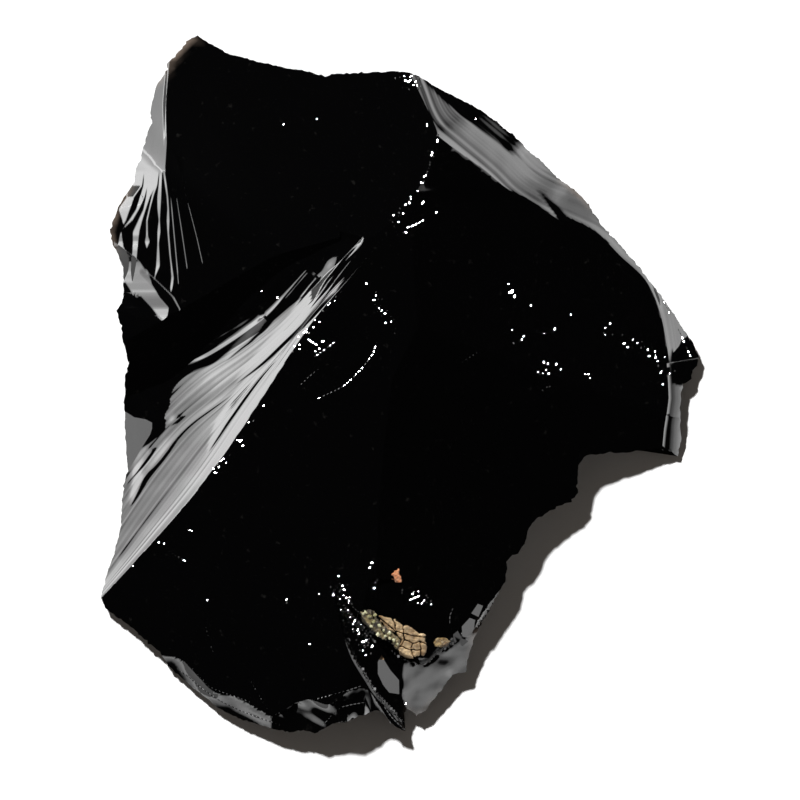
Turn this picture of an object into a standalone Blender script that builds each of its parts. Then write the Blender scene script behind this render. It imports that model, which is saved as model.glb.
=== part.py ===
"""A raw chunk of obsidian: one solid of volcanic glass, lying on its flattest break.

The chunk starts as a blank: its outline in plan, over a flat base, with walls that lean inward
below the edge. Every face above the edge is then a scar, the floor of a flake that broke away,
so each one is cut by a tool whose underside is that floor. Where two floors cross, the sharp
ridge between two scars forms by itself.

Run it in Blender 4.5: blender --background --python part.py
All sizes are in millimetres, +Y is the chunk's longest direction and the base lies on z = 0.
"""

import bpy
import numpy as np

MM = 0.001

# Heights and places of the points that carry the three big scars and the fan.
SUMMIT = (1.4, 27.0, 30.0)
NORTH_RIM = (1.7, 46.1, 26.0)
WEST_RIM = (-35.3, 39.8, 16.0)
SHOULDER = (5.5, 37.5, 28.5)
EAST_TIP = (44.5, 4.5, 2.6)
SADDLE = (-7.4, 20.0, 28.5)
SUMMIT_FOOT = (-4.0, 10.0, 27.5)
WEST_FLOOR = [(-38.0, 12.0, 15.6), (-38.0, 30.0, 16.7), (-18.0, 12.0, 25.0)]
CREST_TOP = (-14.5, 8.3, 24.3)
SOUTH_WEST_TIP = (-44.8, -31.6, 3.0)
SOUTH_RIM = (-15.1, -51.7, 7.0)
SOUTH_FLOOR = [(-9.0, -51.0, 9.0), (-6.0, -32.0, 15.4), (0.8, -51.9, 4.8)]
MIDDLE = (11.9, 5.3, 21.8)
NOTCH_RIM = (35.9, -9.9, 5.2)
SOUTH_EAST_RIM = (14.9, -32.2, 6.5)
HOLLOW_RADIUS = 260.0
HOLLOW_REACH = 20.0

# The blank.
BLANK_TOP = 42.0
TOOL_TOP = 55.0
EDGE_THICKNESS = 0.5
LEAST_EDGE_HEIGHT = 1.0
WALL_RINGS = 4
WALL_BOW = 0.10
BASE_CENTRE = (-2.0, -4.0)

# The outline in plan, from the north-west peak clockwise.
NORTH_EDGE = [(-30.4, 52.3), (-25.8, 49.7), (-17.4, 47.4), (-11.0, 46.1), (-8.0, 46.6), (1.2, 46.7)]
NORTH_EAST_EDGE = [(6.4, 44.1), (11.6, 41.3), (16.5, 37.8), (21.0, 33.6), (24.1, 30.6), (27.5, 28.0),
                   (30.2, 23.8), (35.1, 18.6), (39.7, 12.7), (43.1, 7.5)]
EAST_KNOB = [(44.9, 4.0), (43.7, 0.9), (42.4, 0.0), (42.0, -3.4), (42.2, -8.3), (41.7, -10.6)]
NOTCH = [(38.8, -9.6), (33.0, -10.2), (27.9, -10.4), (26.7, -12.0), (26.6, -16.0)]
SOUTH_EAST_EDGE = [(24.2, -17.9), (20.4, -20.1), (18.6, -23.8), (16.1, -26.1), (15.7, -29.4),
                   (13.4, -34.0), (10.9, -38.4)]
PLATE_EDGE = [(9.8, -43.2), (7.9, -43.4), (3.8, -48.8), (2.4, -49.6), (1.0, -48.4)]
BLADE_EDGE = [(0.7, -51.9), (-0.8, -51.2), (-3.6, -48.7)]
SOUTH_EDGE = [(-7.5, -50.3), (-12.9, -52.3), (-18.7, -51.8), (-24.4, -50.0), (-27.2, -48.7),
              (-31.8, -45.0), (-36.3, -40.0), (-40.3, -36.5), (-44.4, -33.6)]
WEST_EDGE = [(-44.9, -32.3), (-44.3, -28.8), (-42.4, -23.3), (-41.6, -16.0), (-41.2, -9.6),
             (-41.6, -2.9), (-40.7, 3.3), (-42.5, 11.1), (-41.6, 12.6), (-41.6, 17.6),
             (-43.5, 22.8), (-42.4, 26.6), (-39.9, 30.4), (-38.5, 35.8), (-37.3, 39.2),
             (-36.7, 44.5), (-34.8, 47.4), (-32.6, 50.8)]
OUTLINE = (NORTH_EDGE + NORTH_EAST_EDGE + EAST_KNOB + NOTCH + SOUTH_EAST_EDGE + PLATE_EDGE
           + BLADE_EDGE + SOUTH_EDGE + WEST_EDGE)

# The corners of the flat base, clockwise from the north-west.
BASE = [(-27.0, 40.0), (0.0, 37.0), (19.0, 25.0), (37.5, 3.5), (34.0, -6.5), (23.0, -9.0),
        (12.0, -24.0), (2.0, -37.0), (-14.0, -45.0), (-27.0, -41.0), (-38.0, -28.0), (-36.5, -8.0),
        (-34.5, 16.0)]

# The fan of ribs: it starts at FAN_START and spreads along FAN_HEADING, on the west side of a crest.
FAN_START = (-0.1, 24.5)
FAN_HEADING = 224.0
CREST = [(10, -0.8), (20, -1.8), (30, -4.0), (40, -6.2), (50, -7.9), (60, -8.8), (72, -9.5)]
FAN_WIDTH = [(9, 2.7), (15, 3.1), (22.5, 4.3), (30, 6.2), (37.5, 10.6), (45, 12.5), (60, 13.0)]
FAN_FALL = 0.655
FAN_FALL_OUTER = 0.48
FAN_FLATTENING = 0.045
RIB_COUNT = 4
RIB_HEIGHT = 0.22

# The band along the north-east edge.
BAND_HEADING = -41.0
BAND_CREASE = [(-6.9, 3.6), (-0.6, 0.7), (3, 0.7), (10.3, 0.95), (14.2, 0.8), (20.4, 1.9), (22.5, 4.2),
               (27, 4.8), (32.4, 4.4), (38.4, 4.0), (43.2, 1.6), (47, -1.1)]
BAND_FALL = 0.36

# The strips that bevel the edge, each from its upper rim: (place along, place of the rim).
WEST_STRIP_RIM = [(12.0, -47.0), (20.0, -43.0), (28.0, -38.5), (36.5, -34.8), (39.8, -35.1),
                  (43.7, -35.5), (47.6, -34.6), (50.0, -33.0)]
WEST_STRIP_FALL = 0.43
EAST_STRIP_RIM = [(-10.5, 50.0), (1.0, 47.0), (3.0, 44.5), (5.0, 41.0), (6.5, 40.3), (9.0, 39.7), (12.0, 40.0)]
EAST_STRIP_FALL = 0.30
SOUTH_WEST_BEVEL_RIM = [(-37.5, -40.4), (-32.0, -41.8), (-28.9, -45.2), (-24.5, -46.9), (-21.1, -48.7),
                        (-17.9, -50.4), (-14.0, -53.0)]
SOUTH_WEST_BEVEL_FALL = 0.50
SOUTH_BEVEL_RIM = [(-20.8, -50.5), (-17.0, -48.5), (-14.9, -47.2), (-10.6, -47.8), (-5.9, -45.2),
                   (-4.7, -45.6), (-3.4, -47.6), (-2.0, -49.8), (-0.6, -51.8), (1.5, -55.0)]
SOUTH_BEVEL_FALL = 0.52
BEVEL_FLATTENING = 0.10

# The thin plate at the south end, below a steep step that carries the rusty crust.
STEP_RIM = [(-9.8, -30.0), (-7.3, -32.2), (-4.3, -33.7), (0.0, -35.5), (3.7, -37.6), (7.4, -38.1),
            (11.0, -36.0), (14.0, -32.0)]
LEDGE_REACH = [(-9.0, 0.3), (-5.8, 1.3), (-3.7, 3.2), (-1.3, 3.8), (0.0, 4.4), (1.7, 4.3), (3.8, 3.4),
               (5.9, 1.2), (7.4, 0.3), (12.0, 0.1)]
LEDGE_FALL = 0.42
STEP_FALL = 4.0
PLATE = [(1.4, -41.9, 6.4), (10.4, -38.2, 5.6), (3.7, -49.0, 3.7)]
PLATE_BLEND = 0.15
# The blade's foot against the plate: (y, x).
BLADE_FOOT = [(-54.0, 2.2), (-51.9, 0.8), (-49.4, -0.8), (-47.7, -2.4), (-46.1, -3.7), (-44.6, -4.6),
              (-40.4, -7.0), (-36.0, -8.6), (-30.0, -10.0)]
BLADE_FALL = 3.0
CRUST_PLACES = [(-3.2, -35.0, 1.7), (-0.6, -36.6, 1.9), (2.2, -38.0, 1.7)]
CRUST_RISE = 0.40

# Shallow bowls in the walls below the edge: (centre, radius) of the ball that leaves each one.
WALL_SCARS = [((-12.0, 61.4, 2.2), 22.0), ((23.7, 46.3, 3.8), 18.0), ((37.6, 28.8, 1.1), 14.0),
              ((-50.5, 18.0, 0.6), 14.0), ((-44.7, 37.2, 2.0), 12.0)]
GLASS_BLACK = (0.012, 0.012, 0.013, 1.0)


def along(points):
    """A smooth curve through (place, value) points, straight beyond both ends."""
    place, value = np.array(points, float).T
    gap = np.diff(place)
    rise = np.diff(value) / gap
    slope = np.concatenate([rise[:1], rise[1:], rise[-1:]])
    slope[1:-1] = (rise[:-1] * gap[1:] + rise[1:] * gap[:-1]) / (gap[1:] + gap[:-1])

    def at(where):
        i = np.clip(np.searchsorted(place, where) - 1, 0, len(gap) - 1)
        t = np.clip((where - place[i]) / gap[i], 0, 1)
        blend = t * t * (3 - 2 * t)
        bend = gap[i] * t * (1 - t) * ((1 - t) * slope[i] - t * slope[i + 1])
        before = np.minimum(where - place[0], 0) * slope[0]
        after = np.maximum(where - place[-1], 0) * slope[-1]
        return value[i] + (value[i + 1] - value[i]) * blend + bend + before + after

    return at


def tilted(first, second, third, sag_centre=None, sag=0.0):
    """A scar floor through three (x, y, z) points, hollowed a little about sag_centre."""
    corners = np.array([first, second, third], float)
    normal = np.cross(corners[1] - corners[0], corners[2] - corners[0])
    slope_x, slope_y = -normal[:2] / normal[2]

    def floor(x, y):
        height = corners[0, 2] + slope_x * (x - corners[0, 0]) + slope_y * (y - corners[0, 1])
        if sag_centre:
            reach = (x - sag_centre[0]) ** 2 + (y - sag_centre[1]) ** 2
            height = height + (reach - HOLLOW_REACH**2) * sag / 2
        return height

    return floor


def turned(x, y, start, heading):
    """Distances along a heading in degrees from start, and to the left of it."""
    angle = np.radians(heading)
    east, north = x - start[0], y - start[1]
    ahead = east * np.cos(angle) + north * np.sin(angle)
    left = north * np.cos(angle) - east * np.sin(angle)
    return ahead, left


def falling(base, past, fall, flattening=0.0, rise_back=0.9):
    """Falls away from the base floor past a ridge, and stands clear of it on the near side."""
    return base - np.where(past > 0, fall * past - 0.5 * flattening * past**2, past * rise_back)


sag = 1 / HOLLOW_RADIUS
north_floor = tilted(SUMMIT, NORTH_RIM, WEST_RIM, (-14.0, 34.0), sag)
west_floor = tilted(*WEST_FLOOR)
east_scar = tilted(SUMMIT, SHOULDER, EAST_TIP, (22.0, 18.0), sag)
south_west_floor = tilted(CREST_TOP, SOUTH_WEST_TIP, SOUTH_RIM)
south_floor = tilted(*SOUTH_FLOOR)
summit_scar = tilted(SUMMIT, SADDLE, SUMMIT_FOOT)
south_east_scar = tilted(MIDDLE, NOTCH_RIM, SOUTH_EAST_RIM, (21.0, -10.0), sag)


def south_west_scar(x, y):
    """The south-western floor, which turns down to the south-east beside the blade."""
    return np.minimum(south_west_floor(x, y), south_floor(x, y))


def north_west_scar(x, y):
    """The north-western floor, which bends down to the west end."""
    return np.minimum(north_floor(x, y), west_floor(x, y))


def fan_scar(x, y):
    """The ribbed wall west of the crest: steepest at the crest, flattening outward."""
    ahead, left = turned(x, y, FAN_START, FAN_HEADING)
    past = -left - along(CREST)(ahead)
    width = along(FAN_WIDTH)(ahead)
    inner = np.clip(past, 0, width)
    outer = np.clip(past - width, 0, None)
    drop = FAN_FALL * inner - (FAN_FALL - FAN_FALL_OUTER) * inner**2 / (2 * width)
    drop = drop + 0.5 * FAN_FALL_OUTER * outer - 0.5 * FAN_FLATTENING * outer**2
    spread = np.clip((ahead - 8) / 14, 0, 1) * np.clip(past, 0, 1)
    ribs = RIB_HEIGHT * np.abs(np.sin(np.pi * RIB_COUNT * past / width)) * spread
    base = np.minimum(south_west_scar(x, y), summit_scar(x, y))
    return base - np.where(past > 0, drop + ribs, past)


def band_scar(x, y):
    """The long narrow band down the north-east edge."""
    ahead, left = turned(x, y, SHOULDER[:2], BAND_HEADING)
    return falling(east_scar(x, y), left - along(BAND_CREASE)(ahead), BAND_FALL, rise_back=0.5)


def west_strip(x, y):
    return falling(north_west_scar(x, y), along(WEST_STRIP_RIM)(y) - x, WEST_STRIP_FALL)


def east_strip(x, y):
    return falling(east_scar(x, y), x - along(EAST_STRIP_RIM)(y), EAST_STRIP_FALL)


def south_west_bevel(x, y):
    past = along(SOUTH_WEST_BEVEL_RIM)(x) - y
    return falling(south_west_scar(x, y), past, SOUTH_WEST_BEVEL_FALL, BEVEL_FLATTENING)


def south_bevel(x, y):
    past = along(SOUTH_BEVEL_RIM)(x) - y
    return falling(south_west_scar(x, y), past, SOUTH_BEVEL_FALL, BEVEL_FLATTENING)


def plate_scar(x, y):
    """A steep step down from the two southern scars, then the nearly level plate."""
    rim = along(STEP_RIM)(x)
    past = rim - y
    edge = np.minimum(south_west_scar(x, rim), south_east_scar(x, rim))
    ledge = along(LEDGE_REACH)(x)
    step = edge - LEDGE_FALL * past - (STEP_FALL - LEDGE_FALL) * np.clip(past - ledge, 0, None)
    level = tilted(*PLATE)(x, y)
    over = step - level
    floor = level + 0.5 * (over + np.sqrt(over**2 + PLATE_BLEND))
    blade_side = np.clip(along(BLADE_FOOT)(y) - x, 0, None)
    floor = floor + BLADE_FALL * blade_side
    above = np.minimum(south_west_scar(x, y), south_east_scar(x, y))
    return np.where(past > -0.5, floor, above - 0.9 * past)


# Each scar with the rectangle that its tool covers (x, y, x, y), and the tool's grid step.
SCARS = [
    ("north_west_scar", north_west_scar, (-50, 5, 16, 58), 5.0),
    ("east_scar", east_scar, (-8, -16, 50, 50), 5.0),
    ("south_west_scar", south_west_scar, (-50, -57, 20, 32), 5.0),
    ("south_east_scar", south_east_scar, (-4, -57, 50, 20), 5.0),
    ("summit_scar", summit_scar, (-24, -8, 18, 42), 7.0),
    ("fan_scar", fan_scar, (-50, -40, 2, 30), 1.6),
    ("band_scar", band_scar, (-2, 0, 50, 52), 2.2),
    ("west_strip", west_strip, (-50, 10, -28, 58), 2.0),
    ("east_strip", east_strip, (37, -14, 50, 12), 1.8),
    ("south_west_bevel", south_west_bevel, (-46, -57, -13, -35), 1.8),
    ("south_bevel", south_bevel, (-22, -57, -3, -42), 1.8),
    ("plate_scar", plate_scar, (-14, -57, 18, -27), 1.3),
]


def clear_scene():
    for old in list(bpy.data.objects):
        bpy.data.objects.remove(old, do_unlink=True)


def set_heights(obj, points):
    """Moves the object's points to the given places in millimetres."""
    obj.data.vertices.foreach_set("co", (points * MM).ravel())
    obj.data.update()


def outward(obj):
    bpy.context.view_layer.objects.active = obj
    bpy.ops.object.mode_set(mode="EDIT")
    bpy.ops.mesh.select_all(action="SELECT")
    bpy.ops.mesh.normals_make_consistent(inside=False)
    bpy.ops.object.mode_set(mode="OBJECT")


def scar_tool(name, floor, box, step):
    """A closed block over the box whose underside is the scar's floor."""
    west, south, east, north = box
    across = max(2, round((east - west) / step))
    along_y = max(2, round((north - south) / step))
    bpy.ops.mesh.primitive_grid_add(x_subdivisions=across, y_subdivisions=along_y, size=1)
    tool = bpy.context.object
    tool.name = name
    places = np.empty(len(tool.data.vertices) * 3)
    tool.data.vertices.foreach_get("co", places)
    places = places.reshape(-1, 3)
    x = west + (places[:, 0] + 0.5) * (east - west)
    y = south + (places[:, 1] + 0.5) * (north - south)
    set_heights(tool, np.column_stack([x, y, floor(x, y)]))
    bpy.ops.object.mode_set(mode="EDIT")
    bpy.ops.mesh.select_all(action="SELECT")
    bpy.ops.mesh.extrude_region_move(TRANSFORM_OT_translate={"value": (0, 0, TOOL_TOP * MM)})
    bpy.ops.object.mode_set(mode="OBJECT")
    outward(tool)
    return tool


def combine(body, tool, operation):
    modifier = body.modifiers.new(tool.name, "BOOLEAN")
    modifier.operation = operation
    modifier.object = tool
    bpy.context.view_layer.objects.active = body
    bpy.ops.object.modifier_apply(modifier=modifier.name)
    bpy.data.objects.remove(tool, do_unlink=True)


def base_point(place):
    """Where the line from the base's centre towards place crosses the base's outline, and how far
    along that side of the base it lies, from 0 to 1."""
    centre = np.array(BASE_CENTRE)
    ray = np.array(place) - centre
    for start, end in zip(BASE, BASE[1:] + BASE[:1]):
        start, side = np.array(start) - centre, np.array(end) - np.array(start)
        turn = ray[0] * side[1] - ray[1] * side[0]
        reach = (start[0] * side[1] - start[1] * side[0]) / turn
        share = (start[0] * ray[1] - start[1] * ray[0]) / turn
        if reach > 0 and 0 <= share <= 1:
            return centre + reach * ray, share
    raise ValueError("the base outline doesn't close around its centre")


def blank():
    """The chunk before any scar: its outline stood up, over walls that lean in to the base."""
    outline = np.array(OUTLINE)
    x, y = outline.T
    surface = np.min([floor(x, y) for name, floor, box, step in SCARS], axis=0)
    edge = np.maximum(surface - EDGE_THICKNESS, LEAST_EDGE_HEIGHT)
    edge = np.minimum(edge, np.minimum(np.roll(edge, 1), np.roll(edge, -1)))
    feet, shares = zip(*[base_point(place) for place in OUTLINE])
    feet = np.array(feet)
    hollow = WALL_BOW * (1 - np.abs(2 * np.array(shares) - 1) ** 2)
    rings = [np.column_stack([outline, np.full(len(outline), BLANK_TOP)])]
    for ring in range(WALL_RINGS + 1):
        down = ring / WALL_RINGS
        share = (1 - down) * (1 - 4 * hollow * down * (1 - down))
        plan = feet + (outline - feet) * share[:, None]
        rings.append(np.column_stack([plan, edge * (1 - down)]))
    count = len(outline)
    faces = [list(range(count)), list(range(len(rings) * count - 1, (len(rings) - 1) * count - 1, -1))]
    for ring in range(len(rings) - 1):
        for i in range(count):
            after = (i + 1) % count
            faces.append([ring * count + i, (ring + 1) * count + i,
                          (ring + 1) * count + after, ring * count + after])
    mesh = bpy.data.meshes.new("obsidian_chunk")
    mesh.from_pydata((np.vstack(rings) * MM).tolist(), [], faces)
    body = bpy.data.objects.new("obsidian_chunk", mesh)
    bpy.context.collection.objects.link(body)
    outward(body)
    return body


def wall_tool(centre, radius):
    """The ball whose side leaves a bowl-shaped scar in the wall."""
    bpy.ops.mesh.primitive_ico_sphere_add(subdivisions=4, radius=radius * MM,
                                          location=[size * MM for size in centre])
    tool = bpy.context.object
    tool.name = "wall_scar"
    return tool


def crust_lump(place):
    """One low swelling of the rusty crust on the step above the plate."""
    x, y, radius = place
    bpy.ops.mesh.primitive_ico_sphere_add(subdivisions=2, radius=radius * MM)
    lump = bpy.context.object
    lump.name = "crust_lump"
    lump.scale = (1.3, 0.9, CRUST_RISE)
    lump.rotation_euler = (np.arctan(LEDGE_FALL), 0, np.radians(-25))
    lump.location = (x * MM, y * MM, float(plate_scar(np.array([x]), np.array([y]))[0]) * MM)
    bpy.ops.object.transform_apply(location=False, rotation=True, scale=True)
    return lump


def glass():
    material = bpy.data.materials.new("obsidian")
    material.use_nodes = True
    shader = material.node_tree.nodes["Principled BSDF"]
    shader.inputs["Base Color"].default_value = GLASS_BLACK
    shader.inputs["Roughness"].default_value = 0.08
    shader.inputs["Metallic"].default_value = 0.0
    return material


def build_chunk():
    body = blank()
    for name, floor, box, step in SCARS:
        combine(body, scar_tool(name, floor, box, step), "DIFFERENCE")
    for centre, radius in WALL_SCARS:
        combine(body, wall_tool(centre, radius), "DIFFERENCE")
    for place in CRUST_PLACES:
        combine(body, crust_lump(place), "UNION")
    body.data.materials.clear()
    body.data.materials.append(glass())
    print("triangles", sum(len(face.vertices) - 2 for face in body.data.polygons))
    return body


clear_scene()
chunk = build_chunk()
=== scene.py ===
# %% [markdown]
# # A chunk of raw obsidian
# Obsidian is volcanic glass. It has no grain, so it breaks like a thick bottle: each flake that
# comes off leaves a smooth, slightly hollow scar, and two scars meet in a ridge as sharp as a
# knife. The chunk here is built the same way. A plain blank is stood up from the outline, and one
# tool for each lost flake is subtracted from it, so the ridges form by themselves.
# The solids loaded first are the fixed frame. The detailed chunk replaces the plain one and stays
# inside its box.

import bpy
import numpy as np
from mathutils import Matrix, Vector


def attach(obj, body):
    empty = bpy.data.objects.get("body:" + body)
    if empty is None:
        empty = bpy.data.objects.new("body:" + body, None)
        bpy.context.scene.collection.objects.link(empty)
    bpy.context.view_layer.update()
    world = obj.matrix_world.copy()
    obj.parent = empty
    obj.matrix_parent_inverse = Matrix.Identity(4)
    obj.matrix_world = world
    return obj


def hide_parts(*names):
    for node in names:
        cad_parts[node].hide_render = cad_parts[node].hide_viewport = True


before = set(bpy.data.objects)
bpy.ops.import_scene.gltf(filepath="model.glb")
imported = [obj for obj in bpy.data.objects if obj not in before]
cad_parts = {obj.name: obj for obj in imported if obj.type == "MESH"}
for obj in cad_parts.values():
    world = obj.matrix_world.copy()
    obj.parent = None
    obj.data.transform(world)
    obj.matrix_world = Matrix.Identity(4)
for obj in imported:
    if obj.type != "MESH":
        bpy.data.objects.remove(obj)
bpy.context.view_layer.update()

# %% [markdown]
# ## Curves and noise
# All sizes are in millimetres and become metres only when a mesh gets its points. A rim or a rib
# is drawn by a few points with a smooth curve through them. Small seeded waves, always the same,
# stand for the fine lines that a fracture leaves in glass.

# %% Curves and noise
MM = 0.001
WAVE_REPEAT = 512
LUMP_REPEAT = 128


def along(points):
    """A smooth curve through (place, value) points, straight beyond both ends."""
    place, value = np.array(points, float).T
    gap = np.diff(place)
    rise = np.diff(value) / gap
    slope = np.concatenate([rise[:1], rise])
    slope[1:-1] = (rise[:-1] * gap[1:] + rise[1:] * gap[:-1]) / (gap[1:] + gap[:-1])

    def at(where):
        i = np.clip(np.searchsorted(place, where) - 1, 0, len(gap) - 1)
        t = np.clip((where - place[i]) / gap[i], 0, 1)
        blend = t * t * (3 - 2 * t)
        bend = gap[i] * t * (1 - t) * ((1 - t) * slope[i] - t * slope[i + 1])
        before = np.minimum(where - place[0], 0) * slope[0]
        after = np.maximum(where - place[-1], 0) * slope[-1]
        return value[i] + (value[i + 1] - value[i]) * blend + bend + before + after

    return at


def straight(points):
    """Straight lines through (place, value) points, level beyond both ends."""
    place, value = np.array(points, float).T
    return lambda where: np.interp(where, place, value)


def ease(t):
    """0 up to t = 0, 1 from t = 1 on, and a smooth rise between."""
    t = np.clip(t, 0, 1)
    return t * t * (3 - 2 * t)


def between(value, start, end, fade):
    """1 from start to end, easing to 0 over fade outside them."""
    return ease((value - start) / fade + 1) * ease((end - value) / fade + 1)


def wave(seed):
    """Smooth random waves, about one for each unit of length, between -1 and 1."""
    heights = np.random.default_rng(seed).uniform(-1, 1, WAVE_REPEAT)

    def at(where):
        low = np.floor(where).astype(int)
        t = ease(where - low)
        return heights[low % WAVE_REPEAT] * (1 - t) + heights[(low + 1) % WAVE_REPEAT] * t

    return at


def lumps(seed):
    """Smooth random lumps in two directions, about one for each unit, between -1 and 1."""
    heights = np.random.default_rng(seed).uniform(-1, 1, (LUMP_REPEAT, LUMP_REPEAT))

    def at(x, y):
        i, j = np.floor(x).astype(int), np.floor(y).astype(int)
        s, t = ease(x - i), ease(y - j)

        def row(j):
            j = j % LUMP_REPEAT
            return heights[i % LUMP_REPEAT, j] * (1 - s) + heights[(i + 1) % LUMP_REPEAT, j] * s

        return row(j) * (1 - t) + row(j + 1) * t

    return at


print("a wave at 0, 0.5 and 1", np.round(wave(3)(np.array([0, 0.5, 1])), 2))

# %% [markdown]
# ## The floor of a scar
# A scar is nearly flat, so a plane through three points draws it, hollowed a little as a real one
# is. Faint rings spread over it from the point where the blow fell. Here a floor is a function
# that gives a height for every place, so floors can be bent and compared before any mesh is made.

# %% The floor of a scar
HOLLOW = 1 / 260
HOLLOW_REACH = 20.0
RING_HEIGHT = 0.012
RING_SPACING = 3.4
WAVES_TO_A_RING = 2
UNEVEN_SIZE, UNEVEN_SHARE = 9, 0.5


def tilted(first, second, third, hollow_centre=None):
    """A scar floor through three (x, y, z) points, hollowed a little about hollow_centre."""
    corners = np.array([first, second, third], float)
    normal = np.cross(corners[1] - corners[0], corners[2] - corners[0])
    slope_x, slope_y = -normal[:2] / normal[2]

    def floor(x, y):
        height = corners[0, 2] + slope_x * (x - corners[0, 0]) + slope_y * (y - corners[0, 1])
        if hollow_centre:
            reach = (x - hollow_centre[0]) ** 2 + (y - hollow_centre[1]) ** 2
            height = height + (reach - HOLLOW_REACH**2) * HOLLOW / 2
        return height

    return floor


def soft_lower(first, second, blend):
    """The lower of two heights, rounded over where they cross."""
    return 0.5 * (first + second - np.sqrt((first - second) ** 2 + blend**2))


def ringed(floor, blow, seed):
    """The same floor with faint uneven rings about the point of the blow."""
    uneven, soft = wave(seed), lumps(seed + 1)

    def at(x, y):
        reach = np.hypot(x - blow[0], y - blow[1])
        ring = uneven(reach / RING_SPACING * WAVES_TO_A_RING)
        ring = ring + UNEVEN_SHARE * soft(x / UNEVEN_SIZE, y / UNEVEN_SIZE)
        return floor(x, y) + RING_HEIGHT * ring

    return at


print("a hollow is", round(HOLLOW_REACH**2 * HOLLOW / 2, 2), "mm deep in its middle")

# %% [markdown]
# ## The big scars
# Four broad breaks meet near the middle: north-west, east, south-west and south-east. A small one
# lies between them, below the summit. The north-western and south-western floors each bend down
# at one end, and the eastern one bends a little so that its ridge runs in a curve.

# %% The big scars
SUMMIT = (1.4, 27.0, 30.0)
NORTH_RIM = (1.7, 46.1, 26.0)
WEST_RIM = (-35.3, 39.8, 16.0)
SHOULDER = (5.5, 37.5, 28.5)
EAST_TIP = (44.5, 4.5, 2.6)
SADDLE = (-7.4, 20.0, 28.5)
SUMMIT_FOOT = (-4.0, 10.0, 27.5)
CREST_TOP = (-14.5, 8.3, 24.3)
SOUTH_WEST_TIP = (-44.8, -31.6, 3.0)
SOUTH_RIM = (-15.1, -51.7, 7.0)
MIDDLE = (11.9, 5.3, 21.8)
NOTCH_RIM = (35.9, -9.9, 5.2)
SOUTH_EAST_RIM = (14.9, -32.2, 6.5)
WEST_FLOOR = [(-38.0, 12.0, 15.6), (-38.0, 30.0, 16.7), (-18.0, 12.0, 25.0)]
SOUTH_FLOOR = [(-9.0, -51.0, 9.0), (-5.0, -31.0, 16.1), (0.8, -51.9, 4.8)]
# Where each scar is hollowed, and where its blow fell.
NORTH_HOLLOW, NORTH_BLOW = (-14.0, 34.0), (-4.0, 60.0)
EAST_HOLLOW, EAST_BLOW = (22.0, 18.0), (60.0, 30.0)
SOUTH_EAST_HOLLOW, SOUTH_EAST_BLOW = (21.0, -10.0), (45.0, -45.0)
SOUTH_WEST_BLOW = (-20.0, -70.0)
WEST_BEND = 0.4
# The ridge between the north-western and eastern scars: (y, x).
NORTH_RIDGE = [(22.0, -0.6), (26.7, 1.2), (27.8, 1.5), (29.6, 2.9), (32.4, 4.1), (34.9, 5.0),
               (38.3, 5.6), (39.3, 4.6), (42.0, 3.0), (45.8, 1.7), (49.0, 0.8)]
RIDGE_REACH = 12.0
RIDGE_SOUTH, SOUTH_FADE = 22.0, 5.0
RIDGE_NORTH, NORTH_FADE = 38.6, 2.0
north_ridge = along(NORTH_RIDGE)
north_floor = ringed(tilted(SUMMIT, NORTH_RIM, WEST_RIM, NORTH_HOLLOW), NORTH_BLOW, 21)
west_floor = tilted(*WEST_FLOOR)
east_plane = ringed(tilted(SUMMIT, SHOULDER, EAST_TIP, EAST_HOLLOW), EAST_BLOW, 31)
south_west_floor = ringed(tilted(CREST_TOP, SOUTH_WEST_TIP, SOUTH_RIM), SOUTH_WEST_BLOW, 41)
south_floor = tilted(*SOUTH_FLOOR)
summit_scar = tilted(SUMMIT, SADDLE, SUMMIT_FOOT)
south_east_scar = ringed(tilted(MIDDLE, NOTCH_RIM, SOUTH_EAST_RIM, SOUTH_EAST_HOLLOW), SOUTH_EAST_BLOW, 51)


def north_west_scar(x, y):
    """The north-western floor, which bends down to the west end."""
    return soft_lower(north_floor(x, y), west_floor(x, y), WEST_BEND)


def east_scar(x, y):
    """The eastern scar, bent a little so that it meets the north-west one along a curved ridge."""
    ridge = north_ridge(y)
    gap = north_west_scar(ridge, y) - east_plane(ridge, y)
    reach = np.clip(x - ridge, 0, None) / RIDGE_REACH
    fade = ease((y - RIDGE_SOUTH) / SOUTH_FADE)
    return east_plane(x, y) + gap * np.exp(-reach) * fade * ease((RIDGE_NORTH - y) / NORTH_FADE)


def south_west_scar(x, y):
    """The south-western floor, which turns down to the south-east beside the blade."""
    return np.minimum(south_west_floor(x, y), south_floor(x, y))


print("height at the summit", round(float(east_scar(*SUMMIT[:2])), 1))

# %% [markdown]
# ## The fan's guides
# West of a long crest the glass tore in ribs that spread like a fan. Every place in the fan has
# two measures: how far ahead it lies along the crest's heading, and how far past the crest.
# Guide curves say how far past the crest each rib lies. The tool's grid is laid along the same
# guides, so every rib runs along an edge of the mesh and stays crisp with few faces.

# %% The fan's guides
FAN_START = (-0.1, 24.5)
FAN_HEADING = 224.0
# The crest: (ahead, distance to the right of the heading).
CREST = [(10, -0.8), (20, -1.8), (30, -4.0), (40, -6.2), (50, -7.9), (60, -8.8), (72, -9.5)]
# How far past the crest the guides lie at each station ahead.
FAN_STATIONS = [-2, 2, 9, 15, 22.5, 30, 37.5, 45, 52.5, 60, 72, 80]
FAN_GUIDES = [
    [0.1, 0.1, 0.2, 0.5, 0.8, 1.45, 2.0, 1.9, 1.8, 1.5, 0.8, 0.7],
    [0.4, 0.5, 0.7, 1.05, 1.25, 2.85, 4.7, 6.8, 7.1, 6.2, 4.0, 3.5],
    [2.0, 2.2, 2.7, 3.1, 4.5, 7.2, 10.8, 12.5, 13.5, 13.0, 9.0, 8.0],
    [5.2, 5.4, 5.7, 5.9, 6.2, 8.9, 12.7, 16.5, 19.0, 19.0, 14.0, 13.0],
]
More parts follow.
